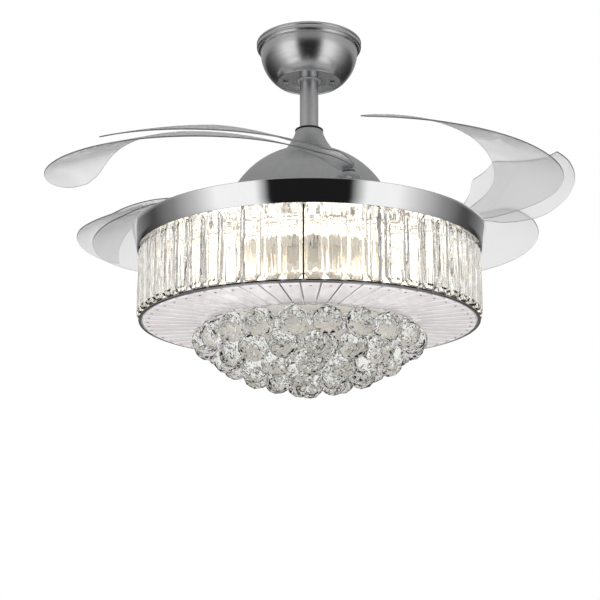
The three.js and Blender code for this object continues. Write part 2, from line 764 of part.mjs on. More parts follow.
// ---------------------------------------------------------------- blade carrier, pins and springs
const pivotAngles = Array.from({ length: BLADES }, (_, i) => FIRST_PIVOT_ANGLE + (360 / BLADES) * i);
const pivotPoints = pivotAngles.map((angle) => [
  PIVOT_CIRCLE_RADIUS * Math.cos(radians(angle)),
  PIVOT_CIRCLE_RADIUS * Math.sin(radians(angle)),
]);
const carrierArms = pivotAngles.map((angle, i) =>
  box(
    PIVOT_CIRCLE_RADIUS,
    CARRIER_ARM_WIDTH,
    CARRIER_THICKNESS,
    PIVOT_CIRCLE_RADIUS / 2,
    0,
    carrierTopZ - CARRIER_THICKNESS / 2,
  )
    .rotate([0, 0, angle])
    .add(
      disc(CARRIER_ARM_WIDTH / 2, carrierBottomZ, carrierTopZ, SMALL_ROUND).translate([
        ...pivotPoints[i],
        0,
      ]),
    ),
);
const carrierPinHoles = pivotPoints.map((point) =>
  disc(PIVOT_PIN_RADIUS + GAP, carrierBottomZ - CUT, carrierTopZ + CUT, SMALL_ROUND).translate([
    ...point,
    0,
  ]),
);
add(
  "blade_carrier",
  [
    disc(CARRIER_BORE_RADIUS, carrierBottomZ - CUT, carrierTopZ + CUT),
    ...carrierPinHoles,
  ].reduce(
    (whole, cut) => whole.subtract(cut),
    joined([disc(CARRIER_DISC_RADIUS, carrierBottomZ, carrierTopZ), ...carrierArms]),
  ),
  zincSteel,
);

class SpringCurve extends THREE.Curve {
  getPoint(share, target = new THREE.Vector3()) {
    const angle = share * SPRING_TURNS * 2 * Math.PI;
    const rise = SPRING_HEIGHT - 2 * SPRING_WIRE_RADIUS;
    return target.set(
      SPRING_RADIUS * Math.cos(angle),
      SPRING_RADIUS * Math.sin(angle),
      SPRING_WIRE_RADIUS + rise * share,
    );
  }
}
const wireSection = new THREE.Shape();
const WIRE_SIDES = 4;
for (let i = 0; i < WIRE_SIDES; i += 1) {
  const angle = (i / WIRE_SIDES) * 2 * Math.PI;
  const x = SPRING_WIRE_RADIUS * Math.cos(angle);
  const y = SPRING_WIRE_RADIUS * Math.sin(angle);
  if (i === 0) wireSection.moveTo(x, y);
  else wireSection.lineTo(x, y);
}
const spring = solid(
  new THREE.ExtrudeGeometry(wireSection, {
    steps: 9 * SPRING_TURNS,
    extrudePath: new SpringCurve(),
    bevelEnabled: false,
  }),
);
const pivotPin = joined([
  disc(PIVOT_PIN_RADIUS, carrierBottomZ, pinTopZ, SMALL_ROUND),
  disc(PIVOT_HEAD_RADIUS, pinTopZ, pinTopZ + PIVOT_HEAD_HEIGHT, SMALL_ROUND),
]);
pivotPoints.forEach((point, i) => {
  add(`pivot_pin_${i + 1}`, pivotPin.translate([...point, 0]), zincSteel);
  add(`return_spring_${i + 1}`, spring.translate([...point, springBottomZ]), zincSteel);
});

// ---------------------------------------------------------------- blades
// A leaf in its own frame: the pin at the origin, the leaf setting out along +X and bending to
// the right, with its outer edge on the left and lower than its inner edge. The slant cuts its end
// back towards the inner edge, more and more from where the leaf has its full pitch.
function leaf(length, width, swellShare, tipShare, endShare, slant) {
  const rings = [];
  const pitched = (LEAF_FLAT_LENGTH + LEAF_TWIST_LENGTH) / length;
  for (let i = 0; i <= LEAF_STATIONS; i += 1) {
    const share = i / LEAF_STATIONS;
    const swell = Math.sin((Math.min(share / swellShare, 1) * Math.PI) / 2) ** 2;
    const tip = Math.max((share - 1 + tipShare) / tipShare, 0);
    const rounding = Math.sqrt(1 - (1 - endShare ** 2) * tip ** 2);
    const half = ((LEAF_ROOT_WIDTH + (width - LEAF_ROOT_WIDTH) * swell) * rounding) / 2;
    const cutBack = (slant * Math.max(share - pitched, 0)) / (1 - pitched);
    const point = (side, level) => {
      const along = share * length - (cutBack * (1 - side)) / 2;
      const bend = along / PIVOT_CIRCLE_RADIUS;
      const twist = Math.min(Math.max((along - LEAF_FLAT_LENGTH) / LEAF_TWIST_LENGTH, 0), 1);
      return [
        (PIVOT_CIRCLE_RADIUS + side * half) * Math.sin(bend),
        (PIVOT_CIRCLE_RADIUS + side * half) * Math.cos(bend) - PIVOT_CIRCLE_RADIUS,
        LEAF_SLOPE * along - side * half * LEAF_PITCH * twist + (level * LEAF_THICKNESS) / 2,
      ];
    };
    rings.push([point(-1, -1), point(1, -1), point(1, 1), point(-1, 1)]);
  }
  return lofted(rings)
    .add(disc(LEAF_HUB_RADIUS, -LEAF_HUB_HEIGHT / 2, LEAF_HUB_HEIGHT / 2, SMALL_ROUND))
    .subtract(bore(PIVOT_PIN_RADIUS + GAP, -LEAF_HUB_RADIUS, LEAF_HUB_RADIUS, SMALL_ROUND));
}
const mainLeaf = leaf(
  MAIN_LENGTH,
  MAIN_WIDTH,
  MAIN_SWELL,
  MAIN_TIP_SHARE,
  MAIN_END_SHARE,
  MAIN_SLANT,
);
const auxiliaryLeaf = leaf(
  AUXILIARY_LENGTH,
  AUXILIARY_WIDTH,
  AUXILIARY_SWELL,
  AUXILIARY_TIP_SHARE,
  AUXILIARY_END_SHARE,
  AUXILIARY_SLANT,
);
pivotAngles.forEach((angle, i) => {
  add(
    `main_leaf_${i + 1}`,
    mainLeaf.rotate([0, 0, angle + MAIN_HEADING]).translate([...pivotPoints[i], leafZ]),
    clearPlastic,
  );
  add(
    `auxiliary_leaf_${i + 1}`,
    auxiliaryLeaf
      .rotate([0, 0, angle + AUXILIARY_HEADING])
      .translate([...pivotPoints[i], leafZ + auxiliaryRise]),
    clearPlastic,
  );
});

// ---------------------------------------------------------------- lamp drum
add(
  "shaft_spacer",
  ring(
    SHAFT_RADIUS + GAP,
    BEARING_RADIUS,
    basePlateTopZ + GAP,
    domeBottomZ + BEARING_STEP - GAP,
  ),
  zincSteel,
);
add(
  "shaft_nut",
  disc(NUT_RADIUS, nutTopZ - NUT_HEIGHT, nutTopZ, 6).subtract(
    disc(SHAFT_RADIUS + GAP, nutTopZ - NUT_HEIGHT - CUT, nutTopZ + CUT),
  ),
  zincSteel,
);
const bandRadiusAt = (z) =>
  BAND_TOP_RADIUS - ((BAND_TOP_RADIUS - BAND_BOTTOM_RADIUS) * (bandTopZ - z)) / BAND_HEIGHT;
const basePlateRadius = bandRadiusAt(basePlateBottomZ) - BAND_WALL - 2 * GAP;
add(
  "base_plate",
  disc(basePlateRadius, basePlateBottomZ, basePlateTopZ, FINE_ROUND).subtract(
    disc(SHAFT_RADIUS + GAP, basePlateBottomZ - CUT, basePlateTopZ + CUT),
  ),
  whiteSteel,
);
const lipTopZ = basePlateBottomZ - GAP;
const lipBottomZ = lipTopZ - BAND_WALL;
add(
  "chrome_band",
  turned(
    [
      [bandRadiusAt(bandTopZ), bandTopZ],
      [bandRadiusAt(bandTopZ) - BAND_WALL, bandTopZ],
      [bandRadiusAt(lipTopZ) - BAND_WALL, lipTopZ],
      [bandRadiusAt(lipTopZ) - BAND_WALL - BAND_LIP_DEPTH, lipTopZ],
      [bandRadiusAt(lipTopZ) - BAND_WALL - BAND_LIP_DEPTH, lipBottomZ],
      [bandRadiusAt(lipBottomZ) - BAND_WALL, lipBottomZ],
      [bandRadiusAt(bandBottomZ) - BAND_WALL, bandBottomZ],
      [bandRadiusAt(bandBottomZ), bandBottomZ],
      [bandRadiusAt(bandTopZ), bandTopZ],
    ],
    FINE_ROUND,
  ),
  chrome,
);
add(
  "trim_ring",
  ring(trimRadius - TRIM_WIDTH, trimRadius, trimBottomZ, trimTopZ, FINE_ROUND),
  chrome,
);

const post = disc(
  POST_RADIUS,
  panTopZ - PAN_THICKNESS / 2,
  basePlateBottomZ - GAP,
  SMALL_ROUND,
).translate([panRadius - POST_INSET, 0, 0]);
const posts = Array.from({ length: POSTS }, (_, i) =>
  post.rotate([0, 0, (360 / POSTS) * (i + 0.5)]),
);
add(
  "drum_frame",
  joined([ring(PAN_BORE_RADIUS, panRadius, panBottomZ, panTopZ, FINE_ROUND), ...posts]),
  whiteSteel,
);

// a prism stands upright with a bevelled front and a pointed face at each end
const prismMiddle = prismOuterRadius - PRISM_DEPTH / 2;
const prismRing = (z, share) => {
  const half = (PRISM_WIDTH / 2) * share;
  const depth = (PRISM_DEPTH / 2) * share;
  return [
    [prismMiddle - depth, -half, z],
    [prismMiddle + depth, -half + PRISM_BEVEL * share, z],
    [prismMiddle + depth, half - PRISM_BEVEL * share, z],
    [prismMiddle - depth, half, z],
  ];
};
const prism = lofted([
  prismRing(prismBottomZ, PRISM_END_SHARE),
  prismRing(prismBottomZ + PRISM_TIP, 1),
  prismRing(prismTopZ - PRISM_TIP, 1),
  prismRing(prismTopZ, PRISM_END_SHARE),
]);
const prisms = Array.from({ length: PRISMS }, (_, i) =>
  prism.rotate([0, 0, (360 / PRISMS) * (i + 0.5)]),
);
const prismHoopZ = prismTopZ - PRISM_TIP - HOOP_HEIGHT;
const prismHoop = ring(
  prismMiddle - HOOP_WIDTH,
  prismMiddle,
  prismHoopZ,
  prismHoopZ + HOOP_HEIGHT,
  PRISMS,
);
add("prism_curtain", joined([prismHoop, ...prisms]), crystal);

const stripBottomZ = stripTopZ - STRIP_THICKNESS;
const stripRing = (radius, width) => [
  [radius, -width / 2, stripTopZ],
  [radius, width / 2, stripTopZ],
  [radius, width / 2 - STRIP_BEVEL, stripBottomZ],
  [radius, STRIP_BEVEL - width / 2, stripBottomZ],
];
const strip = lofted([
  stripRing(stripInnerRadius, STRIP_INNER_WIDTH),
  stripRing(stripOuterRadius, STRIP_OUTER_WIDTH),
]);
const strips = Array.from({ length: PRISMS }, (_, i) => strip.rotate([0, 0, (360 / PRISMS) * i]));
const stripHoopRadius = (stripInnerRadius + stripOuterRadius) / 2;
const stripHoop = ring(
  stripHoopRadius,
  stripHoopRadius + HOOP_WIDTH,
  stripTopZ - STRIP_HOOP_THICKNESS,
  stripTopZ,
  PRISMS,
);
add("crystal_strips", joined([stripHoop, ...strips]), crystal);

const ledBoardTopZ = basePlateBottomZ - GAP;
add(
  "led_board",
  ring(
    LED_BOARD_INNER_RADIUS,
    LED_BOARD_OUTER_RADIUS,
    ledBoardTopZ - LED_BOARD_THICKNESS,
    ledBoardTopZ,
  ),
  whitePlastic,
);
add(
  "led_driver",
  box(
    DRIVER_LENGTH,
    DRIVER_WIDTH,
    DRIVER_HEIGHT,
    0,
    DRIVER_OFFSET,
    ledBoardTopZ - DRIVER_HEIGHT / 2,
  ),
  whitePlastic,
);
add(
  "diffuser_plate",
  disc(PAN_BORE_RADIUS + DIFFUSER_LAP, diffuserBottomZ, diffuserBottomZ + DIFFUSER_THICKNESS),
  frosted,
);

// ---------------------------------------------------------------- crystal balls
const facetedBall = solid(new THREE.DodecahedronGeometry(CRYSTAL_RADIUS));
CRYSTAL_TIERS.forEach((tier, tierIndex) => {
  const radius = clusterRadius * tier.spread;
  const lowestZ = stripBottomZ - CLUSTER_DEPTH * tier.drop;
  const hoopTopZ = radius > stripInnerRadius ? stripBottomZ - GAP : stemTopZ;
  const balls = Array.from({ length: tier.balls }, (_, level) =>
    facetedBall.translate([radius, 0, lowestZ + CRYSTAL_SPACING * level]),
  );
  const strand = joined([
    disc(STEM_RADIUS, lowestZ, hoopTopZ, STEM_SIDES).translate([radius, 0, 0]),
    ...balls,
  ]);
  const strands = Array.from({ length: tier.count }, (_, i) =>
    strand.rotate([0, 0, (360 / tier.count) * (i + 0.5)]),
  );
  if (radius > 0)
    strands.push(
      ring(
        radius - STEM_HOOP_WIDTH / 2,
        radius + STEM_HOOP_WIDTH / 2,
        hoopTopZ - STEM_HOOP_HEIGHT,
        hoopTopZ,
        2 * tier.count,
      ),
    );
  add(`ball_tier_${tierIndex + 1}`, joined(strands), crystal);
});

export default fan;
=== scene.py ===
import math

import bpy
from mathutils import Matrix, Vector


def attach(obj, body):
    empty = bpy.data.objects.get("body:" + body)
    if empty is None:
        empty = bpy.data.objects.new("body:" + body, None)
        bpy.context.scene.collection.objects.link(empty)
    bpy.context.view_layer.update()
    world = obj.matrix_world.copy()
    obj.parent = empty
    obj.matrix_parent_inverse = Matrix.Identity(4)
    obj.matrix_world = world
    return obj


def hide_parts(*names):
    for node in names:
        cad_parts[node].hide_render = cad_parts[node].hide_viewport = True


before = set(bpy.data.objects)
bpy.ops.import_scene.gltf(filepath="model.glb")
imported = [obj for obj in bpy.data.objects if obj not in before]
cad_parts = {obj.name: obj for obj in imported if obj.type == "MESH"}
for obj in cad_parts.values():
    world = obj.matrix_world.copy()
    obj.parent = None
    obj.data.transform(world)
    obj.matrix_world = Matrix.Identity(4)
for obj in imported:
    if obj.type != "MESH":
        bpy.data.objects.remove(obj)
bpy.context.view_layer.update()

# ------------------------------------------------------------ camera
# The photograph is taken from below the lamp and a little to one side, with a long lens tilted up at the fan.
# The lens, its place and its tilt are fitted to the outlines of the chrome band, lower ring and canopy.
degrees_up_from_straight_down = 104.018
camera_data = bpy.data.cameras.new("camera")
camera_data.lens = 78.93
camera_data.sensor_width = 36.0
camera = bpy.data.objects.new("camera", camera_data)
bpy.context.scene.collection.objects.link(camera)
camera.location = (-0.01321, -1.79165, -0.83661)
camera.rotation_euler = (math.radians(degrees_up_from_straight_down), 0.0, 0.0)
bpy.context.scene.camera = camera
bpy.context.scene.view_settings.view_transform = "Standard"
bpy.context.scene.cycles.max_bounces = 20
bpy.context.scene.cycles.transmission_bounces = 18
bpy.context.scene.cycles.transparent_max_bounces = 16

# ------------------------------------------------------------ studio
# A white studio with two tall soft boxes in front, a dark gap between them for the camera, and darker walls
# beside. Chrome and crystal show these walls, and the light on matt finishes is even and white.
studio = bpy.data.worlds.new("studio")
bpy.context.scene.world = studio
studio.use_nodes = True
tree = studio.node_tree
tree.nodes.clear()


def add_node(tree, kind, settings=(), **links):
    """One node of that kind: settings are its own properties, links are values or sockets for its inputs."""
    made = tree.nodes.new(kind)
    for key, value in dict(settings).items():
        setattr(made, key, value)
    for key, value in links.items():
        numbered = key[0] == "i" and key[1:].isdigit()
        socket = made.inputs[int(key[1:]) if numbered else key.replace("_", " ")]
        if isinstance(value, bpy.types.NodeSocket):
            tree.links.new(value, socket)
        else:
            socket.default_value = value
    return made


def ramp(tree, fac, stops):
    """A colour ramp through (place, colour) stops; a single number is a grey."""
    made = add_node(tree, "ShaderNodeValToRGB", i0=fac)
    elements = made.color_ramp.elements
    while len(elements) > 1:
        elements.remove(elements[-1])
    for index, (place, colour) in enumerate(stops):
        element = elements[0] if index == 0 else elements.new(place)
        element.position = place
        element.color = (*colour, 1) if isinstance(colour, tuple) else (colour, colour, colour, 1)
    return made.outputs["Color"]


def math_node(tree, operation, first, second=0.0, third=0.0):
    """The result of one operation on numbers."""
    made = add_node(tree, "ShaderNodeMath", {"operation": operation}, i0=first, i1=second, i2=third)
    return made.outputs[0]


def mixed(tree, fac, first, second, kind="MIX"):
    """first where fac is 0, second where it is 1. The node's sockets 6 and 7 are the ones for colours."""
    made = add_node(tree, "ShaderNodeMix", {"data_type": "RGBA", "blend_type": kind})
    for socket, value in zip((made.inputs[0], made.inputs[6], made.inputs[7]), (fac, first, second)):
        if isinstance(value, bpy.types.NodeSocket):
            tree.links.new(value, socket)
        elif isinstance(value, tuple):
            socket.default_value = (*value, 1)
        else:
            socket.default_value = value
    return made.outputs[2]


direction = add_node(tree, "ShaderNodeTexCoord").outputs["Generated"]
along = add_node(tree, "ShaderNodeSeparateXYZ", i0=direction).outputs
bearing = math_node(tree, "ARCTAN2", along[0], math_node(tree, "MULTIPLY", along[1], -1.0))
round_share = math_node(tree, "MULTIPLY_ADD", bearing, 0.5 / math.pi, 0.5)
wall_light_at_bearing = (
    (-180, 0.2), (-150, 0.03), (-134, 0.035), (-114, 0.08), (-94, 0.24), (-76, 0.56), (-60, 1.0), (-34, 1.0),
    (-25, 0.012), (25, 0.012), (36, 1.0), (56, 1.0), (72, 0.62), (90, 0.30), (110, 0.09), (134, 0.035),
    (150, 0.03), (180, 0.2),
)
walls = ramp(tree, round_share, [(degrees / 360 + 0.5, light) for degrees, light in wall_light_at_bearing])
height_share = math_node(tree, "MULTIPLY_ADD", along[2], 0.5, 0.5)
wall_share = ramp(tree, height_share, [(0.02, 0.0), (0.1, 1.0), (0.53, 1.0), (0.6, 0.15), (0.75, 0.0)])
above_below = ramp(tree, height_share, [(0.0, 0.55), (0.3, 0.62), (0.5, 0.4), (0.75, 0.42), (1.0, 0.6)])
room = mixed(tree, wall_share, above_below, walls)
# The backdrop behind the fan is white, also through the crystal, and so is all that the camera sees directly.
backdrop = ramp(tree, math_node(tree, "MULTIPLY_ADD", along[1], 0.5, 0.5), [(0.5, 0.0), (0.7, 1.0)])
white = (1.0, 1.0, 1.0)
even_light = (0.82, 0.82, 0.82)
ray = add_node(tree, "ShaderNodeLightPath").outputs
seen = mixed(tree, ray["Is Transmission Ray"], room, mixed(tree, backdrop, room, white))
seen = mixed(tree, ray["Is Diffuse Ray"], seen, even_light)
seen = mixed(tree, ray["Is Camera Ray"], seen, white)
background = add_node(tree, "ShaderNodeBackground", Color=seen, Strength=1.0)
add_node(tree, "ShaderNodeOutputWorld", Surface=background.outputs[0])

fan_middle = Vector((0, 0, -0.25))
soft_box_side, soft_box_front = 1.5, 1.4
for side, height, power in ((-1, -0.9, 9.0), (1, -0.6, 6.0)):
    lamp_data = bpy.data.lights.new("soft_box", "AREA")
    lamp_data.shape = "RECTANGLE"
    lamp_data.size = 1.0
    lamp_data.size_y = 1.6
    lamp_data.energy = power
    soft_box = bpy.data.objects.new("soft_box", lamp_data)
    bpy.context.scene.collection.objects.link(soft_box)
    soft_box.visible_glossy = soft_box.visible_transmission = False
    soft_box.location = (side * soft_box_side, -soft_box_front, height)
    soft_box.rotation_euler = (fan_middle - soft_box.location).to_track_quat("-Z", "Y").to_euler()

# ------------------------------------------------------------ floor
# A plain matt white studio floor well below the lamp, with a faint mottle. It takes the fan's soft shadow.
# Chrome and crystal don't show it, but the studio's walls.
floor_size, floor_height = 24.0, -2.6
bpy.ops.object.select_all(action="DESELECT")
bpy.ops.mesh.primitive_plane_add(size=floor_size, location=(0.0, 0.0, floor_height))
floor = bpy.context.object
floor.name = "studio_floor"
floor.visible_glossy = floor.visible_transmission = False
floor_finish = bpy.data.materials.new("matt_white_floor")
floor_finish.use_nodes = True
tree = floor_finish.node_tree
shader = tree.nodes["Principled BSDF"]
mottle = add_node(tree, "ShaderNodeTexNoise", Scale=3.0, Detail=3.0)
tree.links.new(ramp(tree, mottle.outputs[0], [(0.3, 0.9), (0.7, 0.93)]), shader.inputs["Base Color"])
shader.inputs["Roughness"].default_value = 0.9
floor.data.materials.append(floor_finish)


# ------------------------------------------------------------ ceiling bracket, receiver and terminal block
# The bracket is pressed from galvanised steel and screwed to the ceiling. The receiver and its terminal block
# are moulded plastic boxes wired up inside it. The canopy hides all of it from below.
def new_finish(name):
    """A new material, its node tree, its shader and the coordinates of the piece that wears it."""
    made = bpy.data.materials.new(name)
    made.use_nodes = True
    tree = made.node_tree
    place = add_node(tree, "ShaderNodeTexCoord").outputs["Object"]
    return made, tree, tree.nodes["Principled BSDF"], place


def emboss(tree, shader, pattern, strength, depth):
    """Lets a pattern stand out of the surface, by that depth in metres at full strength."""
    relief = add_node(tree, "ShaderNodeBump", Strength=strength, Distance=depth, Height=pattern)
    tree.links.new(relief.outputs[0], shader.inputs["Normal"])


def finish(name, dark, light, grain, roughness, metallic=0.0, bump=0.15, stretch=(1, 1, 1)):
    """A finish whose colour, gloss and surface vary with a grain of that many cells a metre."""
    made, tree, shader, place = new_finish(name)
    scaled = add_node(tree, "ShaderNodeMapping", Vector=place, Scale=stretch).outputs[0]
    fine = add_node(tree, "ShaderNodeTexNoise", Vector=scaled, Scale=grain, Detail=4.0).outputs[0]
    broad = add_node(tree, "ShaderNodeTexNoise", Vector=place, Scale=grain / 14, Detail=2.0).outputs[0]
    shade = math_node(tree, "MULTIPLY_ADD", broad, 0.5, math_node(tree, "MULTIPLY", fine, 0.5))
    tree.links.new(ramp(tree, shade, [(0.36, dark), (0.64, light)]), shader.inputs["Base Color"])
    low, high = roughness
    tree.links.new(math_node(tree, "MULTIPLY_ADD", shade, high - low, low), shader.inputs["Roughness"])
    shader.inputs["Metallic"].default_value = metallic
    emboss(tree, shader, fine, bump, 0.0002)
    return made


def coat(name, material):
    """Gives a CAD piece that keeps its own shape its finish."""
    for material_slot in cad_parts[name].material_slots:
        material_slot.material = material


zinc = finish("galvanised_steel", (0.42, 0.44, 0.46), (0.62, 0.64, 0.66), 260.0, (0.3, 0.5), 0.9, 0.2)
black_plastic = finish("moulded_black_plastic", (0.012, 0.012, 0.014), (0.035, 0.035, 0.038), 900, (0.4, 0.7))
white_plastic = finish("moulded_white_plastic", (0.74, 0.73, 0.70), (0.82, 0.81, 0.78), 900, (0.35, 0.55))
coat("hanger_bracket", zinc)
coat("receiver", black_plastic)
coat("terminal_block", white_plastic)

# ------------------------------------------------------------ canopy
# The canopy is a bowl spun from thin sheet steel, brushed round and nickel plated outside. Its rim is rolled
# with fine grooves, and two keyhole slots in its flat bottom turn onto the bracket's screws.
mm = 0.001


def turn(name, profile, sides=128, centre=(0.0, 0.0), caps=False):
    """A piece turned round an upright axis through (radius, height) points, in millimetres. The outline
    closes on its first point, or with caps it has a flat face at either end."""
    bpy.ops.object.select_all(action="DESELECT")
    radius, height = profile[0]
    x, y = centre[0] * mm, centre[1] * mm
    bpy.ops.mesh.primitive_circle_add(vertices=sides, radius=radius * mm, location=(x, y, height * mm))
    piece = bpy.context.object
    piece.name = piece.data.name = name
    bpy.ops.object.transform_apply(location=True, rotation=True, scale=True)
    bpy.ops.object.mode_set(mode="EDIT")
    bpy.ops.mesh.select_mode(type="VERT")
    bpy.ops.mesh.select_all(action="SELECT")
    if caps:
        bpy.ops.mesh.edge_face_add()
    for next_radius, next_height in profile[1:] + profile[:0 if caps else 1]:
        climb = (0, 0, (next_height - height) * mm)
        share = next_radius / radius
        bpy.ops.mesh.extrude_region_move(TRANSFORM_OT_translate={"value": climb})
        bpy.ops.transform.resize(value=(share, share, 1), center_override=(x, y, next_height * mm))
        radius, height = next_radius, next_height
    if caps:
        bpy.ops.mesh.edge_face_add()
    bpy.ops.mesh.select_all(action="SELECT")
    bpy.ops.mesh.remove_doubles(threshold=1e-6)
    bpy.ops.mesh.normals_make_consistent(inside=False)
    bpy.ops.object.mode_set(mode="OBJECT")
    bpy.ops.object.shade_smooth_by_angle(angle=math.radians(32))
    return piece


def fit(piece, material, body, slot, *nodes):
    """The piece gets its finish, moves with a body and stands for these CAD nodes."""
    if material is not None:
        piece.data.materials.clear()
        piece.data.materials.append(material)
    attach(piece, body)
    if nodes:
        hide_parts(*nodes)


def apply_modifier(piece, modifier):
    """Makes a modifier's shape the piece's own."""
    bpy.ops.object.select_all(action="DESELECT")
    bpy.context.view_layer.objects.active = piece
    piece.select_set(True)
    bpy.ops.object.modifier_apply(modifier=modifier.name)


def cut(piece, cutter, operation="DIFFERENCE"):
    """Cuts another piece out of this one, or joins it on, and removes it."""
    modifier = piece.modifiers.new("cut", "BOOLEAN")
    modifier.operation = operation
    modifier.object = cutter
    modifier.solver = "EXACT"
    apply_modifier(piece, modifier)
    bpy.data.objects.remove(cutter)


def round_bar(radius, length, place, turned=(0, 0, 0), sides=24):
    """A round bar, in millimetres, to be cut out of a piece or joined to it."""
    bpy.ops.object.select_all(action="DESELECT")
    bpy.ops.mesh.primitive_cylinder_add(vertices=sides, radius=radius * mm, depth=length * mm,
                                        location=[measure * mm for measure in place], rotation=turned)
    return bpy.context.object


def from_axis(tree, place):
    """A point's distance from the upright axis, and its three coordinates."""
    along = add_node(tree, "ShaderNodeSeparateXYZ", i0=place).outputs
    flat = add_node(tree, "ShaderNodeCombineXYZ", i0=along[0], i1=along[1]).outputs[0]
    out = add_node(tree, "ShaderNodeVectorMath", {"operation": "LENGTH"}, i0=flat).outputs["Value"]
    return out, along


def brushed(name, dark, light, roughness):
    """Metal brushed round its own axis: fine rings on a flat face, fine level lines on a wall."""
    made, tree, shader, place = new_finish(name)
    out, along = from_axis(tree, place)
    lines_a_metre = 2600.0
    turned = math_node(tree, "MULTIPLY", math_node(tree, "ARCTAN2", along[0], along[1]), 1.6)
    lines_at = add_node(tree, "ShaderNodeCombineXYZ", i0=math_node(tree, "MULTIPLY", out, lines_a_metre),
                        i1=math_node(tree, "MULTIPLY", along[2], lines_a_metre), i2=turned).outputs[0]
    scratches = add_node(tree, "ShaderNodeTexNoise", Vector=lines_at, Scale=1.0, Detail=3.0).outputs[0]
    cloud = add_node(tree, "ShaderNodeTexNoise", Vector=place, Scale=22.0, Detail=2.0).outputs[0]
    tree.links.new(ramp(tree, scratches, [(0.3, dark), (0.7, light)]), shader.inputs["Base Color"])
    low, high = roughness
    blended = math_node(tree, "MULTIPLY_ADD", scratches, 0.6, math_node(tree, "MULTIPLY", cloud, 0.4))
    tree.links.new(math_node(tree, "MULTIPLY_ADD", blended, high - low, low), shader.inputs["Roughness"])
    shader.inputs["Metallic"].default_value = 1.0
    emboss(tree, shader, scratches, 0.12, 0.0001)
    return made


brushed_nickel = brushed("brushed_nickel", (0.62, 0.62, 0.63), (0.80, 0.80, 0.81), (0.16, 0.32))
# The inside of the bowl is painted near black: painted shade, where little light reaches inside the canopy.
canopy_painted_shade = finish("canopy_inside_painted_shade", (0.03, 0.03, 0.032), (0.07, 0.07, 0.072), 300.0, (0.6, 0.8), 0.2)
canopy_rim, canopy_foot, canopy_hole = 77.0, 46.3, 23.0
canopy_bottom = -62.0
canopy_wall = 1.2
bowl_swell, bowl_top, bowl_depth = 24.6, -15.2, 46.2
bowl_angles = [step / 14 * math.pi / 2 for step in range(1, 14)]
bowl = [(canopy_foot + bowl_swell * math.cos(angle) ** 1.6, bowl_top - bowl_depth * math.sin(angle))
        for angle in bowl_angles]
rim_in_and_height = (
    (1.4, -0.3), (0.4, -0.4), (0.0, -0.9), (0.0, -3.0), (0.4, -3.4), (1.3, -3.6), (1.5, -4.1), (1.3, -4.6),
    (0.3, -4.9), (0.1, -5.5), (0.6, -8.6), (1.4, -9.3), (2.6, -9.6), (2.9, -10.1), (2.7, -10.6), (2.4, -11.0),
    (2.8, -12.2), (4.3, -13.4), (5.6, -14.0),
)
rim_inside = ((7.2, -13.4), (3.8, -10.2), (2.0, -8.0), (1.8, -1.0))
foot_bead_in_and_up = ((-0.4, 0.6), (0.0, 0.1), (0.8, 0.0), (1.6, 0.2), (2.1, 1.1))
hole_edge_out_and_up = ((1.2, 1.1), (0.4, 1.3), (0.0, 1.7), (0.4, 2.2))
canopy = turn(
    "canopy_bowl",
    [(canopy_rim - inward, height) for inward, height in rim_in_and_height] + bowl
    + [(canopy_foot - inward, canopy_bottom + up) for inward, up in foot_bead_in_and_up]
    + [(canopy_hole + outward, canopy_bottom + up) for outward, up in hole_edge_out_and_up]
    + [(canopy_foot - 2.9, canopy_bottom + 2.2)]
    + [(radius - canopy_wall, height + canopy_wall) for radius, height in reversed(bowl)]
    + [(canopy_rim - inward, height) for inward, height in rim_inside],
    sides=160)
screw_reach = 34.0
slot_radius, mouth_radius = 3.0, 5.2
for side in (-1, 1):
    for slide, radius in ((0.0, slot_radius), (3.0, slot_radius), (6.0, slot_radius), (9.5, mouth_radius)):
        cut(canopy, round_bar(radius, 6, (side * screw_reach, side * slide, canopy_bottom + 0.5)))
canopy.data.materials.clear()
canopy.data.materials.append(brushed_nickel)
canopy.data.materials.append(canopy_painted_shade)
# Faces that look in towards the axis above the bottom, and the inner floor, take the painted shade.
for polygon in canopy.data.polygons:
    centre, normal = polygon.center, polygon.normal
    faces_axis = centre.x * normal.x + centre.y * normal.y < -0.2 * math.hypot(centre.x, centre.y)
    above_bottom = centre.z > (canopy_bottom + 1.6) * mm
    inner_floor = normal.z > 0.3 and centre.z < -20 * mm
    polygon.material_index = 1 if faces_axis and above_bottom or inner_floor else 0
fit(canopy, None, "ceiling_mount", "brushed_nickel", "canopy")


# ------------------------------------------------------------ canopy screws
# Two plated pan-head screws with a cross slot hold the canopy up to the bracket's seat. Each was driven until
# it was tight, so its slot stands a little askew.
def block(size, place, turned=0.0):
    """A square block, in millimetres, turned round its upright axis, with its place in its mesh."""
    bpy.ops.object.select_all(action="DESELECT")
    bpy.ops.mesh.primitive_cube_add(size=1.0, location=[measure * mm for measure in place],
                                    rotation=(0, 0, turned))
    made = bpy.context.object
    made.scale = [measure * mm for measure in size]
    bpy.ops.object.transform_apply(location=True, rotation=True, scale=True)
    return made


shank, head = 1.9, 4.0
screw_end, head_seat, head_face = -56.8, -62.2, -64.7
screw_askew = 0.4
driver_slot = (4.4, 0.8, 1.6)
for side, name in ((-1, "canopy_screw_left"), (1, "canopy_screw_right")):
    screw = turn(name + "_piece", [
        (shank, screw_end), (shank, head_seat), (head - 0.3, head_seat - 0.1), (head, head_seat - 0.4),
        (head, head_face + 1.3), (head - 0.6, head_face + 0.5), (head - 1.8, head_face + 0.05),
        (0.6, head_face),
    ], sides=32, centre=(side * screw_reach, 0), caps=True)
    for slot_turn in (screw_askew, screw_askew + math.pi / 2):
        cut(screw, block(driver_slot, (side * screw_reach, 0, head_face + 0.1), slot_turn))
    fit(screw, zinc, "ceiling_mount", "zinc_steel", name)

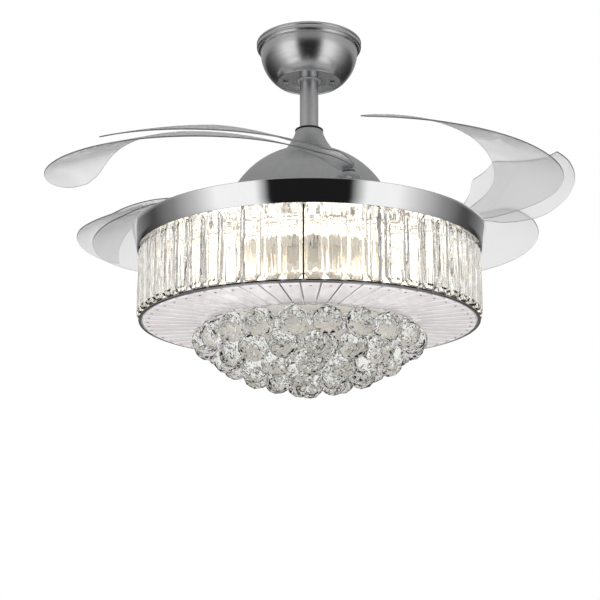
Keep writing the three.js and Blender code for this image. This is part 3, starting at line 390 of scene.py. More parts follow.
# ------------------------------------------------------------ ball and rod
# The rod is a drawn steel tube, brushed and nickel plated. A moulded grey ball on its upper end sits in the
# bracket's seat. A cross pin locks the ball to the rod, and another the rod to the motor's coupling.
ball_radius, ball_bore, ball_centre, ball_flat = 24.0, 13.8, -44.0, 17
ball_heights = [max(min(3 * step, ball_flat), -ball_flat) for step in range(-6, 7)]
hanger_ball = turn(
    "hanger_ball_piece",
    [(ball_bore, ball_centre - ball_flat)]
    + [(math.sqrt(ball_radius ** 2 - up * up), ball_centre + up) for up in ball_heights]
    + [(ball_bore, ball_centre + ball_flat)],
    sides=64)
ball_grey = finish("moulded_grey_ball", (0.40, 0.40, 0.405), (0.50, 0.50, 0.505), 900.0, (0.28, 0.42))
fit(hanger_ball, ball_grey, "hanging_frame", "satin_grey", "hanger_ball")
coat("ball_pin", zinc)

rod_radius, rod_bore = 13.5, 11.3
rod_top, rod_foot = -27.0, -156.5
coupling_pin_height, pin_bore = -148.15, 3.3
rod = turn("downrod_tube", [
    (rod_bore + 0.3, rod_foot + 0.2), (rod_radius - 0.4, rod_foot), (rod_radius, rod_foot + 0.5),
    (rod_radius, rod_top - 0.5), (rod_radius - 0.4, rod_top), (rod_bore + 0.3, rod_top - 0.1),
    (rod_bore, rod_top - 0.6), (rod_bore, rod_foot + 0.6),
], sides=96)
for height in (ball_centre, coupling_pin_height):
    cut(rod, round_bar(pin_bore, 40, (0, 0, height), (math.pi / 2, 0, 0)))
brushed_rod = brushed("brushed_rod", (0.60, 0.60, 0.61), (0.74, 0.74, 0.75), (0.36, 0.5))
fit(rod, brushed_rod, "hanging_frame", "brushed_nickel", "downrod")

# ------------------------------------------------------------ rubber gasket
# A black rubber ring keeps the cone from rattling on the rod. It is moulded with a rounded lip, and its
# surface is too dull to shine.
gasket_bore, gasket_radius = 13.9, 20.5
gasket_top, gasket_foot = -135.1, -137.7
gasket = turn("rod_gasket_ring", [
    (gasket_bore, gasket_foot + 0.1), (gasket_bore, gasket_top - 0.2), (gasket_bore + 1.1, gasket_top),
    (gasket_radius - 1.1, gasket_top), (gasket_radius - 0.2, gasket_top - 0.5),
    (gasket_radius, gasket_top - 1.3), (gasket_radius - 0.2, gasket_foot + 0.5),
    (gasket_radius - 1.0, gasket_foot), (gasket_bore + 0.3, gasket_foot),
])
rubber = finish("black_rubber", (0.008, 0.008, 0.008), (0.03, 0.03, 0.03), 1400.0, (0.55, 0.85))
rubber.node_tree.nodes["Principled BSDF"].inputs["Specular IOR Level"].default_value = 0.15
fit(gasket, rubber, "hanging_frame", "black_rubber", "rod_gasket")

# ------------------------------------------------------------ cone over the coupling
# The cone is spun steel painted satin grey. It slides down the rod over the coupling, and its foot stands on
# the dome.
cone_bore, cone_neck, cone_base = 13.9, 20, 38
cone_top, cone_foot = -138.0, -171.5
cone_wall = 1.2
down_shares = [step / 16 for step in range(1, 16)]
cone_side = [(cone_neck + (cone_base - cone_neck) * share ** 1.5, cone_top + (cone_foot - cone_top) * share)
             for share in down_shares]
cone = turn(
    "coupling_cone",
    [(cone_bore, cone_top), (cone_neck - 0.8, cone_top), (cone_neck - 0.1, cone_top - 0.4)] + cone_side
    + [(cone_base - 0.6, cone_foot + 0.9), (cone_base, cone_foot + 0.2), (cone_base - 0.1, cone_foot),
       (cone_base - 1.1, cone_foot)]
    + [(radius - cone_wall, height) for radius, height in reversed(cone_side)]
    + [(cone_neck - 1.1, cone_top - cone_wall), (cone_bore, cone_top - cone_wall)])
satin_grey = finish("satin_grey_paint", (0.36, 0.362, 0.365), (0.41, 0.412, 0.415), 1500, (0.28, 0.4),
                    metallic=0.6, bump=0.1)
fit(cone, satin_grey, "hanging_frame", "satin_grey", "coupling_cover")
coat("motor_coupling", zinc)
coat("coupling_pin", zinc)

# ------------------------------------------------------------ motor dome
# The dome is the motor's turning housing, die cast in aluminium and painted satin grey, with a turned lower
# edge and a small vent slot at each side of the cone's foot.
dome_radius, dome_centre, dome_wall = 123.6, -289.9, 2.0
dome_edge, dome_foot = 121.9, -269.5
dome_inner_top = -181.9
outer_degrees = [83.8 - 73.7 * step / 40 for step in range(41)]
inner_degrees = [10.4 + 70.4 * step / 16 for step in range(17)]


def dome_point(radius, degrees):
    """A point of the dome's outline, that many degrees up from level."""
    angle = math.radians(degrees)
    return radius * math.cos(angle), dome_centre + radius * math.sin(angle)


dome = turn(
    "motor_dome_housing",
    [dome_point(dome_radius, degrees) for degrees in outer_degrees]
    + [(dome_edge, dome_foot + 0.5), (dome_edge - 0.15, dome_foot + 0.05), (dome_edge - 0.7, dome_foot),
       (dome_edge - 1.7, dome_foot + 0.2), (dome_edge - 2.0, dome_foot + 0.9)]
    + [dome_point(dome_radius - dome_wall, degrees) for degrees in inner_degrees]
    + [(19.0, dome_inner_top), (13.4, dome_inner_top)],
    sides=192)
vent_reach, vent_height, vent_tilt, vent_radius = 45.5, -174.9, 0.36, 1.6
for side in (-1, 1):
    vent = round_bar(vent_radius, 5, (side * vent_reach, 0, vent_height), (0, side * vent_tilt, 0), sides=20)
    vent.scale = (1.0, 3.4, 1.0)
    cut(dome, vent)
fit(dome, satin_grey, "rotor", "satin_grey", "motor_dome")

# ------------------------------------------------------------ inside of the motor
# Bearings, a laminated stator with copper windings, and a ring of magnets pressed into a steel plate that
# closes the dome from below.
laminated = finish("laminated_steel", (0.10, 0.10, 0.11), (0.30, 0.30, 0.32), 90.0, (0.35, 0.55), 0.8, 0.5,
                   stretch=(1, 1, 30))
copper = finish("copper_wire", (0.34, 0.13, 0.05), (0.62, 0.27, 0.12), 160.0, (0.25, 0.4), 0.9, 0.7,
                stretch=(1, 1, 14))
magnet = finish("sintered_magnet", (0.03, 0.03, 0.034), (0.09, 0.09, 0.1), 700.0, (0.4, 0.6), 0.5)
for node in ("upper_bearing", "lower_bearing", "motor_shaft", "shaft_spacer", "shaft_nut", "rotor_plate"):
    coat(node, zinc)
coat("stator_core", laminated)
coat("stator_windings", copper)
coat("magnet_ring", magnet)


# ------------------------------------------------------------ blade carrier
# The carrier is a plate of 3 mm steel, laser cut into a disc with four arms, zinc plated and bolted under the
# dome. Each arm's rounded end holds a blade's pivot pin.
def soften(piece, width):
    """Rounds a piece's sharp edges with a bevel of that width."""
    sharp = math.radians(30)
    modifier = piece.modifiers.new("edges", "BEVEL")
    modifier.width = width * mm
    modifier.segments = 2
    modifier.limit_method = "ANGLE"
    modifier.angle_limit = sharp
    apply_modifier(piece, modifier)
    bpy.ops.object.shade_smooth_by_angle(angle=sharp)


def pick_faces(piece, test):
    """Selects the faces that pass a test of their centre and normal, and leaves the piece in edit mode."""
    bpy.ops.object.mode_set(mode="EDIT")
    bpy.ops.mesh.select_mode(type="FACE")
    bpy.ops.mesh.select_all(action="DESELECT")
    bpy.ops.object.mode_set(mode="OBJECT")
    for polygon in piece.data.polygons:
        polygon.select = bool(test(polygon.center, polygon.normal))
    bpy.ops.object.mode_set(mode="EDIT")


pivot_circle, first_pivot_degrees = 192, 285
pivot_angles = [math.radians(first_pivot_degrees + 90 * i) for i in range(4)]
pivot_points = [(pivot_circle * math.cos(angle), pivot_circle * math.sin(angle)) for angle in pivot_angles]
carrier_bore, carrier_disc = 22.0, 118.0
carrier_top, carrier_foot = -269.8, -272.8
carrier_middle = (carrier_top + carrier_foot) / 2
arm_radius, arm_length, pin_hole_radius = 14.9, 90, 4.3
carrier = turn("blade_carrier_plate", [(carrier_bore, carrier_foot), (carrier_disc, carrier_foot),
                                       (carrier_disc, carrier_top), (carrier_bore, carrier_top)], sides=160)
for angle, (x, y) in zip(pivot_angles, pivot_points):
    arm = round_bar(arm_radius, carrier_top - carrier_foot, (x, y, carrier_middle), (0, 0, angle), sides=48)
    pick_faces(arm, lambda centre, normal: normal.x < -0.3)
    inwards = (-arm_length * mm * math.cos(angle), -arm_length * mm * math.sin(angle), 0)
    bpy.ops.mesh.extrude_region_move(TRANSFORM_OT_translate={"value": inwards})
    bpy.ops.object.mode_set(mode="OBJECT")
    cut(carrier, arm, "UNION")
    cut(carrier, round_bar(pin_hole_radius, 9, (x, y, carrier_middle), sides=32))
soften(carrier, 0.5)
fit(carrier, zinc, "rotor", "zinc_steel", "blade_carrier")

# ------------------------------------------------------------ pivot pins and return springs
# Each blade turns on a plated steel pin with a domed head. A coil spring round it draws the blade in when the
# fan stops.
pin_radius, pin_head, pin_top = 4.0, 6.0, -254.4
chrome = finish("polished_chrome", (0.86, 0.86, 0.87), (0.90, 0.90, 0.91), 30.0, (0.03, 0.07), 1.0, 0.01)
for index, (x, y) in enumerate(pivot_points, 1):
    pin = turn(f"pivot_pin_{index}_piece", [
        (pin_radius - 0.4, carrier_foot), (pin_radius, carrier_foot + 0.4), (pin_radius, pin_top - 1.2),
        (pin_head - 0.4, pin_top - 1.2), (pin_head, pin_top - 0.9), (pin_head - 0.6, pin_top - 0.4),
        (pin_radius - 0.4, pin_top - 0.1), (1.0, pin_top),
    ], sides=48, centre=(x, y), caps=True)
    fit(pin, chrome, "rotor", "zinc_steel", f"pivot_pin_{index}")
    coat(f"return_spring_{index}", zinc)

# ------------------------------------------------------------ blades
# A blade is two clear acrylic leaves on one pin, the main leaf below and the shorter one above it. Each is a
# pitched crescent that follows the dome when it is folded in. The moulded hub at its root is grey.
acrylic, tree, shader, place = new_finish("clear_acrylic")
haze = add_node(tree, "ShaderNodeTexNoise", Vector=place, Scale=9.0, Detail=3.0).outputs[0]
haze_colour = ramp(tree, haze, [(0.3, (0.93, 0.93, 0.935)), (0.7, (0.96, 0.96, 0.965))])
tree.links.new(haze_colour, shader.inputs["Base Color"])
tree.links.new(math_node(tree, "MULTIPLY_ADD", haze, 0.1, 0.06), shader.inputs["Roughness"])
shader.inputs["Transmission Weight"].default_value = 0.88
shader.inputs["IOR"].default_value = 1.3
ripple = add_node(tree, "ShaderNodeTexNoise", Vector=place, Scale=16.0, Detail=1.0).outputs[0]
emboss(tree, shader, ripple, 0.1, 0.001)
acrylic_edge = finish("acrylic_edge", (0.10, 0.10, 0.102), (0.19, 0.19, 0.195), 60.0, (0.15, 0.3))
hub_grey = finish("moulded_grey_hub", (0.30, 0.30, 0.31), (0.42, 0.42, 0.43), 700.0, (0.3, 0.5), 0.2)
leaf_finishes = (acrylic, acrylic_edge, hub_grey)
leaf_wall, leaf_root_width, root_start_share = 1.5, 20, 0.012
leaf_flat_length, leaf_twist_length = 25, 60
leaf_rise, leaf_slope = 0.046, 0.45
edge_setback, least_half_width = 0.35, 0.6
hub_bore, hub_radius, hub_half = 4.4, 9.0, 2.1


def dressed(member, materials, index):
    """Gives a member the materials of the piece that it is joined into, with one of them all over."""
    for material in materials:
        member.data.materials.append(material)
    for polygon in member.data.polygons:
        polygon.material_index = index
    return member


def leaf(name, length, width, swell_share, tip_share, end_share, slant=0):
    """A leaf in its own frame: the pin at the origin, the leaf setting out along +X and bending to the right.
    It swells to its full width over swell_share of its length, and narrows to end_share of that width over
    tip_share of its length. The slant shortens its inner edge, evenly from where it has its full pitch."""
    bpy.ops.object.select_all(action="DESELECT")
    bpy.ops.mesh.primitive_grid_add(x_subdivisions=64, y_subdivisions=8, size=1.0)
    piece = bpy.context.object
    piece.name = piece.data.name = name
    pitched_share = (leaf_flat_length + leaf_twist_length) / length
    for vertex in piece.data.vertices:
        share = root_start_share + (1 - root_start_share) * (vertex.co.x + 0.5)
        cut_back = slant * max(share - pitched_share, 0) / (1 - pitched_share)
        distance = share * length - cut_back * (0.5 - vertex.co.y)
        bend = distance / pivot_circle
        swell = math.sin(min(share / swell_share, 1) * math.pi / 2) ** 2
        tip = max((share - 1 + tip_share) / tip_share, 0)
        rounding = math.sqrt(1 - (1 - end_share ** 2) * tip * tip)
        full_width = (leaf_root_width + (width - leaf_root_width) * swell) * rounding
        half_width = max(full_width / 2 - edge_setback * min(share * 8, 1), least_half_width)
        twist = min(max((distance - leaf_flat_length) / leaf_twist_length, 0), 1)
        offset = 2 * vertex.co.y * half_width
        vertex.co = (
            (pivot_circle + offset) * math.sin(bend) * mm,
            ((pivot_circle + offset) * math.cos(bend) - pivot_circle) * mm,
            (leaf_rise * distance - offset * leaf_slope * twist) * mm,
        )
    dressed(piece, leaf_finishes, 0)
    wall = piece.modifiers.new("wall", "SOLIDIFY")
    wall.thickness = leaf_wall * mm
    wall.offset = 0.0
    wall.material_offset_rim = 1
    apply_modifier(piece, wall)
    bpy.ops.object.shade_smooth_by_angle(angle=math.radians(40))
    hub = turn(name + "_hub", [
        (hub_bore, 0.4 - hub_half), (hub_bore + 0.4, -hub_half), (hub_radius - 0.5, -hub_half),
        (hub_radius, 0.5 - hub_half), (hub_radius, hub_half - 0.5),
        (hub_radius - 0.5, hub_half), (hub_bore + 0.4, hub_half), (hub_bore, hub_half - 0.4),
    ], sides=40)
    dressed(hub, leaf_finishes, 2)
    bpy.ops.object.select_all(action="DESELECT")
    hub.select_set(True)
    piece.select_set(True)
    bpy.context.view_layer.objects.active = piece
    bpy.ops.object.join()
    return piece


def copied(piece, name, place):
    """A copy of a piece with its own mesh, moved by a matrix."""
    made = piece.copy()
    made.data = piece.data.copy()
    made.name = made.data.name = name
    bpy.context.scene.collection.objects.link(made)
    made.data.transform(place)
    return made


main_leaf = leaf("main_leaf", length=545, width=106, swell_share=0.6, tip_share=0.335, end_share=0.03)
auxiliary_leaf = leaf("auxiliary_leaf", length=330, width=102, swell_share=0.47, tip_share=0.08,
                      end_share=0.9, slant=112)
# Each kind's heading when open, in degrees from its pin's bearing, and its height at the pin.
leaf_kinds = (("main", main_leaf, -43, -262.65), ("auxiliary", auxiliary_leaf, -39.5, -258.05))
for index, (angle, (x, y)) in enumerate(zip(pivot_angles, pivot_points), 1):
    for kind, pattern, heading, height in leaf_kinds:
        on_pin = Matrix.Translation((x * mm, y * mm, height * mm))
        opened = Matrix.Rotation(angle + math.radians(heading), 4, "Z")
        blade = copied(pattern, f"{kind}_leaf_{index}_clear", on_pin @ opened)
        fit(blade, None, f"{kind}_blade_{index}", "clear_plastic", f"{kind}_leaf_{index}")
bpy.data.objects.remove(main_leaf)
bpy.data.objects.remove(auxiliary_leaf)

# ------------------------------------------------------------ top of the lamp
# The lamp's top is a round plate of white powder-coated steel hung on the motor's shaft, with a shallow ring
# pressed into it to stiffen it.
plate_bore, plate_radius = 8.4, 246.8
plate_top, plate_foot = -297.7, -299.7
pressed_inner, pressed_outer, pressed_depth = 150.0, 166.0, 0.6
white_steel = finish("white_powder_coat", (0.70, 0.70, 0.69), (0.80, 0.80, 0.79), 1100, (0.4, 0.55),
                     bump=0.25)
base_plate = turn("lamp_top_plate", [
    (plate_bore, plate_top), (pressed_inner, plate_top), (pressed_inner + 3.0, plate_top - pressed_depth),
    (pressed_outer - 3.0, plate_top - pressed_depth), (pressed_outer, plate_top),
    (plate_radius - 0.8, plate_top), (plate_radius, plate_top - 0.5), (plate_radius, plate_foot),
    (plate_bore, plate_foot),
], sides=160)
fit(base_plate, white_steel, "hanging_frame", "white_steel", "base_plate")

# ------------------------------------------------------------ chrome band
# The band is rolled from stainless strip, chrome plated and mirror polished, a little narrower at its foot.
# An inner lip carries the top plate, and both edges are turned over.
band_wall, band_lip = 1.5, 9.5
band_top, band_foot = -295.5, -324.75
band_top_radius, band_foot_radius = 250, 242.25
lip_top, lip_foot = -300.0, -301.5


def band_point(height, inward=0.0):
    """A point of the band's outline, that far in from its outer face."""
    slope = (band_top_radius - band_foot_radius) / (band_top - band_foot)
    return band_top_radius - slope * (band_top - height) - inward, height


band = turn(
    "chrome_band_ring",
    [(band_top_radius - 0.7, band_top), (band_top_radius - 0.2, band_top - 0.1)]
    + [band_point(height) for height in (-296.3, -301, -309, -317, -323.9)]
    + [band_point(-324.6, 0.2), (band_foot_radius - 0.45, band_foot),
       (band_foot_radius - 1.25, band_foot + 0.05), band_point(-323.9, band_wall),
       band_point(lip_foot, band_wall), band_point(lip_foot, band_lip), band_point(lip_top, band_lip),
       band_point(lip_top, band_wall), (band_top_radius - 1.7, band_top - 0.5),
       (band_top_radius - 1.4, band_top - 0.1)],
    sides=256)
fit(band, chrome, "hanging_frame", "chrome", "chrome_band")


# ------------------------------------------------------------ prism curtain
# Fifty-six bars of clear crystal hang side by side round the drum. Each has ground bevels, a shallow hollow
# in its back and tapered ends. A thin black strip behind the front bars is painted shade for a dark gap
# there.
def crystal(name, tint_low, tint_high, waves, stretch=(1, 1, 1), relief_depth=0.12, clear=1.0):
    """Clear crystal glass with a faint tint that drifts and slight waviness from pressing and polishing."""
    made, tree, shader, place = new_finish(name)
    drift = add_node(tree, "ShaderNodeTexNoise", Vector=place, Scale=26.0, Detail=2.0).outputs[0]
    tree.links.new(ramp(tree, drift, [(0.35, tint_low), (0.65, tint_high)]), shader.inputs["Base Color"])
    tree.links.new(math_node(tree, "MULTIPLY", drift, 0.012), shader.inputs["Roughness"])
    shader.inputs["Transmission Weight"].default_value = clear
    shader.inputs["IOR"].default_value = 1.52
    drawn = add_node(tree, "ShaderNodeMapping", Vector=place, Scale=stretch).outputs[0]
    wave = add_node(tree, "ShaderNodeTexNoise", Vector=drawn, Scale=waves, Detail=1.0).outputs[0]
    emboss(tree, shader, wave, relief_depth, 0.001)
    return made


def joined_up(name, pieces):
    """Joins pieces into one."""
    bpy.ops.object.select_all(action="DESELECT")
    for piece in pieces:
        piece.select_set(True)
    bpy.context.view_layer.objects.active = pieces[0]
    bpy.ops.object.join()
    whole = bpy.context.object
    whole.name = whole.data.name = name
    return whole


crystals_round = 56
curtain_radius, curtain_top, curtain_foot = 236.5, -325.05, -420.7
prism_depth, prism_width = 7.8, 24.4
point_room, point_length = 7, 6.8
point_depth_share, point_width_share = 0.5, 0.62
front_bevel, back_margin, back_hollow = 3.4, 5.2, 1.8
curtain_turn = math.radians(-2.2)
prism_crystal = crystal("prism_crystal", (0.92, 0.91, 0.90), (1.0, 1.0, 0.99), 240.0, (1, 1, 0.12), 1.0)
prism = block((prism_depth, prism_width, curtain_top - curtain_foot - 2 * point_room),
              (curtain_radius, 0, (curtain_top + curtain_foot) / 2))
for up in (1, -1):
    pick_faces(prism, lambda centre, normal: normal.z * up > 0.9)
    bpy.ops.mesh.extrude_region_move(TRANSFORM_OT_translate={"value": (0, 0, up * point_length * mm)})
    bpy.ops.transform.resize(value=(point_depth_share, point_width_share, 1),
                             center_override=(curtain_radius * mm, 0, 0))
    bpy.ops.object.mode_set(mode="OBJECT")
bpy.ops.object.mode_set(mode="EDIT")
bpy.ops.mesh.select_mode(type="EDGE")
bpy.ops.mesh.select_all(action="DESELECT")
bpy.ops.object.mode_set(mode="OBJECT")
for edge in prism.data.edges:
    first, second = (prism.data.vertices[i].co for i in edge.vertices)
    in_front = min(first.x, second.x) > curtain_radius * mm
    edge.select = in_front and abs(first.z - second.z) > 50 * mm
bpy.ops.object.mode_set(mode="EDIT")
bpy.ops.mesh.bevel(offset=front_bevel * mm, segments=1, affect="EDGES")
bpy.ops.object.mode_set(mode="OBJECT")
pick_faces(prism, lambda centre, normal: normal.x < -0.9)
bpy.ops.mesh.inset(thickness=back_margin * mm, depth=0)
bpy.ops.transform.translate(value=(back_hollow * mm, 0, 0))
bpy.ops.mesh.select_all(action="SELECT")
bpy.ops.mesh.normals_make_consistent(inside=False)
bpy.ops.object.mode_set(mode="OBJECT")
bpy.ops.object.shade_flat()
bar_angles = [2 * math.pi * (i + 0.5) / crystals_round + curtain_turn for i in range(crystals_round)]
bars = [copied(prism, f"prism_{i}", Matrix.Rotation(angle, 4, "Z")) for i, angle in enumerate(bar_angles)]
bpy.data.objects.remove(prism)
fit(joined_up("prism_curtain_bars", bars), prism_crystal, "hanging_frame", "crystal", "prism_curtain")

# A thin black strip stands upright behind the bars at the front: painted shade for a dark gap between them.
gap_shade_angle = math.radians(270) + curtain_turn
gap_shade_radius, gap_shade_middle, gap_shade_size = 230.6, -372, (2.0, 2.6, 97)
gap_shade_place = (gap_shade_radius * math.cos(gap_shade_angle), gap_shade_radius * math.sin(gap_shade_angle), gap_shade_middle)
gap_shade_strip = block(gap_shade_size, gap_shade_place, gap_shade_angle)
gap_shade_strip.name = gap_shade_strip.data.name = "curtain_joint_strip"
soften(gap_shade_strip, 0.4)
fit(gap_shade_strip, black_plastic, "hanging_frame", "black_plastic")

# ------------------------------------------------------------ lower ring
# A thin ring plated in smoky chrome trims the drum's lower edge. The prisms end just above it, and it hides
# the edge of the pan.
ring_bore, ring_radius = 233.5, 237.5
ring_top, ring_foot = -421.0, -426.0
trim = turn("lower_trim_ring", [
    (ring_bore + 0.1, ring_foot + 0.1), (ring_bore, ring_top - 0.1), (ring_bore + 0.3, ring_top),
    (ring_radius - 2.1, ring_top), (ring_radius - 1.1, ring_top - 2.2), (ring_radius - 0.2, ring_top - 2.6),
    (ring_radius, ring_top - 3.2), (ring_radius, ring_foot + 0.8), (ring_radius - 0.6, ring_foot),
    (ring_bore + 0.4, ring_foot),
], sides=224)
smoked_chrome = finish("smoked_chrome", (0.40, 0.39, 0.39), (0.48, 0.47, 0.47), 30.0, (0.08, 0.14), 1.0, 0.01)
fit(trim, smoked_chrome, "hanging_frame", "chrome", "trim_ring")

# ------------------------------------------------------------ lower pan
# The pan is a flat steel ring, white like the top plate, hung on eight chrome posts. The crystal strips are
# pinned to its underside.
pan_bore, pan_radius = 140.0, 233.2
pan_top, pan_foot = -421.3, -422.8
post_circle, post_radius, post_nut = 224, 2.5, 4.0
post_foot, nut_foot, post_top = -422.0, -306.0, -300.4
pan_finishes = (white_steel, chrome)
pan_plate = turn("lower_pan_ring", [
    (pan_bore, pan_foot), (pan_bore, pan_top - 0.2), (pan_bore + 0.3, pan_top), (pan_radius - 0.2, pan_top),
    (pan_radius, pan_top - 0.2), (pan_radius, pan_foot + 0.2), (pan_radius - 0.2, pan_foot),
], sides=192)
pan_members = [dressed(pan_plate, pan_finishes, 0)]
for i in range(8):
    angle = math.radians(45 * (i + 0.5))
    post = turn(f"post_{i}", [
        (post_radius - 0.1, post_foot), (post_radius, nut_foot), (post_nut, nut_foot + 0.4),
        (post_nut, post_top - 0.6), (post_nut - 0.4, post_top),
    ], sides=24, centre=(post_circle * math.cos(angle), post_circle * math.sin(angle)), caps=True)
    pan_members.append(dressed(post, pan_finishes, 1))
fit(joined_up("lower_pan_ring", pan_members), None, "hanging_frame", "white_steel", "drum_frame")

# ------------------------------------------------------------ crystal strips
# Fifty-six flat crystal strips lie side by side under the pan like the spokes of a wheel. Each is wider at
# its outer end, has ground edges, and is held by a small dark pin near that end.
strip_crystal_painted_glow = crystal("strip_crystal_painted_glow", (0.88, 0.84, 0.845), (0.98, 0.955, 0.96), 60.0, clear=0.4)
# The strip crystal glows faintly pink by itself: painted light that brightens the strips under the pan.
shader = strip_crystal_painted_glow.node_tree.nodes["Principled BSDF"]
shader.inputs["Emission Color"].default_value = (1.0, 0.95, 0.96, 1)
shader.inputs["Emission Strength"].default_value = 0.17
# The strips' side faces are painted dark grey: painted shade in the narrow gaps between neighbouring strips.
strip_gap_shade = finish("strip_side_painted_shade", (0.09, 0.085, 0.085), (0.26, 0.245, 0.245), 70.0, (0.3, 0.5))
strip_middle, strip_level = 185, -425.1
strip_length, strip_thickness, strip_bevel = 94, 3.9, 1.5
strip_pin_circle, strip_pin_radius, strip_pin_face = 224.5, 1.5, -427.5
middle_width, outer_width, inner_width = 19.4, 24.3, 14.4
strip = block((strip_length, middle_width, strip_thickness), (strip_middle, 0, strip_level))
for outward, width in ((1, outer_width), (-1, inner_width)):
    pick_faces(strip, lambda centre, normal: normal.x * outward > 0.9)
    bpy.ops.transform.resize(value=(1, width / middle_width, 1), center_override=(strip_middle * mm, 0, 0))
    bpy.ops.object.mode_set(mode="OBJECT")
pick_faces(strip, lambda centre, normal: normal.z < -0.9)
bpy.ops.mesh.bevel(offset=strip_bevel * mm, segments=1, affect="EDGES")
bpy.ops.object.mode_set(mode="OBJECT")
bpy.ops.object.shade_flat()
for material in (strip_crystal_painted_glow, black_plastic, strip_gap_shade):
    strip.data.materials.append(material)
# Side faces take that painted shade, and all other faces the crystal.
for polygon in strip.data.polygons:
    polygon.material_index = 2 if abs(polygon.normal.y) > 0.95 else 0
strip_pin = turn("strip_pin", [
    (strip_pin_radius, strip_pin_face + 0.5), (strip_pin_radius, strip_pin_face + 0.2),
    (strip_pin_radius - 0.5, strip_pin_face),
], sides=10, centre=(strip_pin_circle, 0), caps=True)
strip = joined_up("strip", [strip, dressed(strip_pin, (strip_crystal_painted_glow, black_plastic), 1)])
strip_angles = [2 * math.pi * i / crystals_round for i in range(crystals_round)]
strips = [copied(strip, f"strip_{i}", Matrix.Rotation(angle, 4, "Z")) for i, angle in enumerate(strip_angles)]
bpy.data.objects.remove(strip)
fit(joined_up("crystal_strip_fan", strips), None, "hanging_frame", "crystal", "crystal_strips")


# ------------------------------------------------------------ light board, its lens and its driver
# A ring of circuit board under the top plate carries three circles of warm white LEDs. An opal acrylic ring
# below it spreads their light, patched dark and bright by painted reflections of the drum's inside. The
# driver by the shaft is a white plastic case.
def glowing(name, low, high, strength, grain):
    """Warm white that gives light, a little uneven as a phosphor is, with what new_finish made for it."""
    made, tree, shader, place = new_finish(name)
    cells = add_node(tree, "ShaderNodeTexNoise", Vector=place, Scale=grain, Detail=2.0).outputs[0]
    colour = ramp(tree, cells, [(0.35, low), (0.65, high)])
    tree.links.new(colour, shader.inputs["Base Color"])
    tree.links.new(colour, shader.inputs["Emission Color"])
    shader.inputs["Emission Strength"].default_value = strength
    shader.inputs["Roughness"].default_value = 0.5
    return made, tree, shader, place


coat("led_driver", white_plastic)
led_circle_step, led_first_circle = 0.030, 0.136
board_light, tree, shader, place = glowing("led_board_light", (1.0, 0.90, 0.74), (1.0, 0.96, 0.86), 1.6, 60.0)
turns_a_metre = 2 * math.pi / led_circle_step
out, along = from_axis(tree, place)
phase = math_node(tree, "MULTIPLY_ADD", out, turns_a_metre, -turns_a_metre * led_first_circle)
led_share = math_node(tree, "MULTIPLY_ADD", math_node(tree, "COSINE", phase), 0.5, 0.5)
led_light = ramp(tree, led_share, [(0.0, (0.30, 0.24, 0.17)), (1.0, (1.0, 0.93, 0.80))])
tree.links.new(led_light, shader.inputs["Emission Color"])
coat("led_board", board_light)

lens_bore, lens_radius = 119.6, 214.0
lens_top, lens_foot = -302.0, -331.6
lens = turn("light_lens", [
    (lens_radius - 0.4, lens_top), (lens_radius, lens_top - 4.0), (lens_radius - 0.6, lens_foot + 4.6),
    (lens_radius - 2.5, lens_foot + 1.4), (lens_radius - 7.0, lens_foot), (lens_bore + 6.4, lens_foot),
    (lens_bore + 1.9, lens_foot + 1.4), (lens_bore + 0.4, lens_foot + 4.6), (lens_bore, lens_top),
    (lens_bore + 1.6, lens_top), (lens_bore + 2.0, lens_foot + 5.0), (lens_bore + 7.4, lens_foot + 1.6),
    (lens_radius - 8.0, lens_foot + 1.6), (lens_radius - 2.2, lens_foot + 5.0),
    (lens_radius - 1.6, lens_top - 4.0), (lens_radius - 2.0, lens_top),
], sides=160)
lens_light, tree, shader, place = glowing("opal_lens", (1.0, 0.93, 0.82), (1.0, 0.97, 0.90), 1.45, 34.0)
height = add_node(tree, "ShaderNodeSeparateXYZ", i0=place).outputs[2]
lens_depth = (lens_top - lens_foot) * mm
depth_share = math_node(tree, "MULTIPLY_ADD", height, -1 / lens_depth, lens_top * mm / lens_depth)
# Dark and bright patches, stretched upright, in the lens's glow: painted reflections of the drum's inside.
drawn = add_node(tree, "ShaderNodeMapping", Vector=place, Scale=(1, 1, 0.35)).outputs[0]
painted_reflections = add_node(tree, "ShaderNodeTexNoise", Vector=drawn, Scale=105.0, Detail=2.0).outputs[0]
painted_reflection_light = ramp(tree, painted_reflections, [(0.40, (0.07, 0.065, 0.06)), (0.46, (0.33, 0.31, 0.29)),
                                   (0.52, (0.95, 0.90, 0.78)), (0.58, (1.0, 0.98, 0.94))])
level_light = ramp(tree, depth_share, [(0.0, 0.25), (0.25, 0.55), (0.6, 0.85), (1.0, 0.95)])
lens_glow = mixed(tree, 1.0, painted_reflection_light, level_light, "MULTIPLY")
tree.links.new(lens_glow, shader.inputs["Emission Color"])
fit(lens, lens_light, "hanging_frame", "frosted")

# ------------------------------------------------------------ diffuser
# The diffuser is a disc of opal acrylic over the middle of the lamp, lit from above. Its edge lies just over
# the pan's inner edge, and the balls hang below it.
diffuser_radius, diffuser_top, diffuser_foot = 150.0, -418.0, -421.0
diffuser = turn("diffuser_disc", [
    (1.0, diffuser_foot), (diffuser_radius - 0.6, diffuser_foot), (diffuser_radius, diffuser_foot + 0.4),
    (diffuser_radius, diffuser_top - 0.4), (diffuser_radius - 0.6, diffuser_top), (1.0, diffuser_top),
], sides=160, caps=True)
opal_acrylic = glowing("opal_acrylic", (1.0, 0.93, 0.84), (1.0, 0.96, 0.90), 0.28, 40.0)[0]
fit(diffuser, opal_acrylic, "hanging_frame", "frosted", "diffuser_plate")

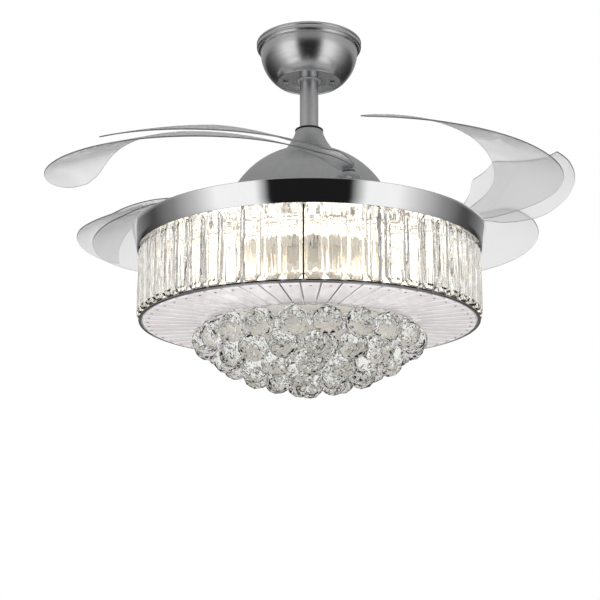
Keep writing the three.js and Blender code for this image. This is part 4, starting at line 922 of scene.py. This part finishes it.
# ------------------------------------------------------------ crystal balls
# Crystal balls, each ground with eighty flat facets, hang in five tiers from chrome hoops, lower towards the
# middle. Each has a wire and a silvered cap let into its top, and in the inner tiers a second ball above it.
ball_crystal = crystal("ball_crystal", (0.945, 0.95, 0.935), (0.99, 0.995, 0.98), 60.0, relief_depth=0.04)
ball_finishes = (ball_crystal, chrome)
ball_size, ball_step, link_length = 20.6, 44, 26
cap_radius, wire_radius, hoop_thickness = 3.4, 0.9, 3.0
cap_foot, cap_shoulder, cap_top = 19.4, 21.2, 21.8
tier_reach, tier_start, tier_depth = 144, -427.1, 82
under_strips, under_pan = -427.4, -421.3
bpy.ops.object.select_all(action="DESELECT")
bpy.ops.mesh.primitive_ico_sphere_add(subdivisions=2, radius=ball_size * mm)
ball = bpy.context.object
bpy.ops.object.shade_flat()
dressed(ball, ball_finishes, 0)
# Balls round the tier, its shares of the reach and of the depth, and balls one above the other.
tiers = ((20, 1.0, 0.29, 1), (15, 0.785, 0.575, 1), (10, 0.535, 0.785, 2), (5, 0.285, 0.9, 2), (1, 0, 1.0, 2))
for tier, (count, reach_share, drop_share, levels) in enumerate(tiers, 1):
    radius = tier_reach * reach_share
    lowest = tier_start - tier_depth * drop_share
    top = under_strips if tier == 1 else under_pan
    members = []
    for i in range(count):
        angle = 2 * math.pi * (i + 0.5) / count
        x, y = radius * math.cos(angle), radius * math.sin(angle)
        for level in range(levels):
            middle = lowest + ball_step * level
            spun = Matrix.Rotation(1.7 * i + tier + level, 4, "Z") @ Matrix.Rotation(0.9 * i, 4, "X")
            hung = Matrix.Translation((x * mm, y * mm, middle * mm))
            members.append(copied(ball, f"ball_{tier}_{i}_{level}", hung @ spun))
            wire_end = middle + link_length if level + 1 < levels else top
            stem = turn(f"stem_{tier}_{i}_{level}", [
                (cap_radius, middle + cap_foot), (cap_radius, middle + cap_shoulder),
                (wire_radius + 0.1, middle + cap_top), (wire_radius, wire_end),
            ], sides=10, centre=(x, y), caps=True)
            members.append(dressed(stem, ball_finishes, 1))
    if radius:
        inner, outer = radius - hoop_thickness / 2, radius + hoop_thickness / 2
        hoop_outline = [(inner, top - 2), (outer, top - 2), (outer, top), (inner, top)]
        members.append(dressed(turn(f"hoop_{tier}", hoop_outline, sides=96), ball_finishes, 1))
    whole_tier = joined_up(f"crystal_ball_tier_{tier}", members)
    fit(whole_tier, None, "hanging_frame", "crystal", f"ball_tier_{tier}")
bpy.data.objects.remove(ball)
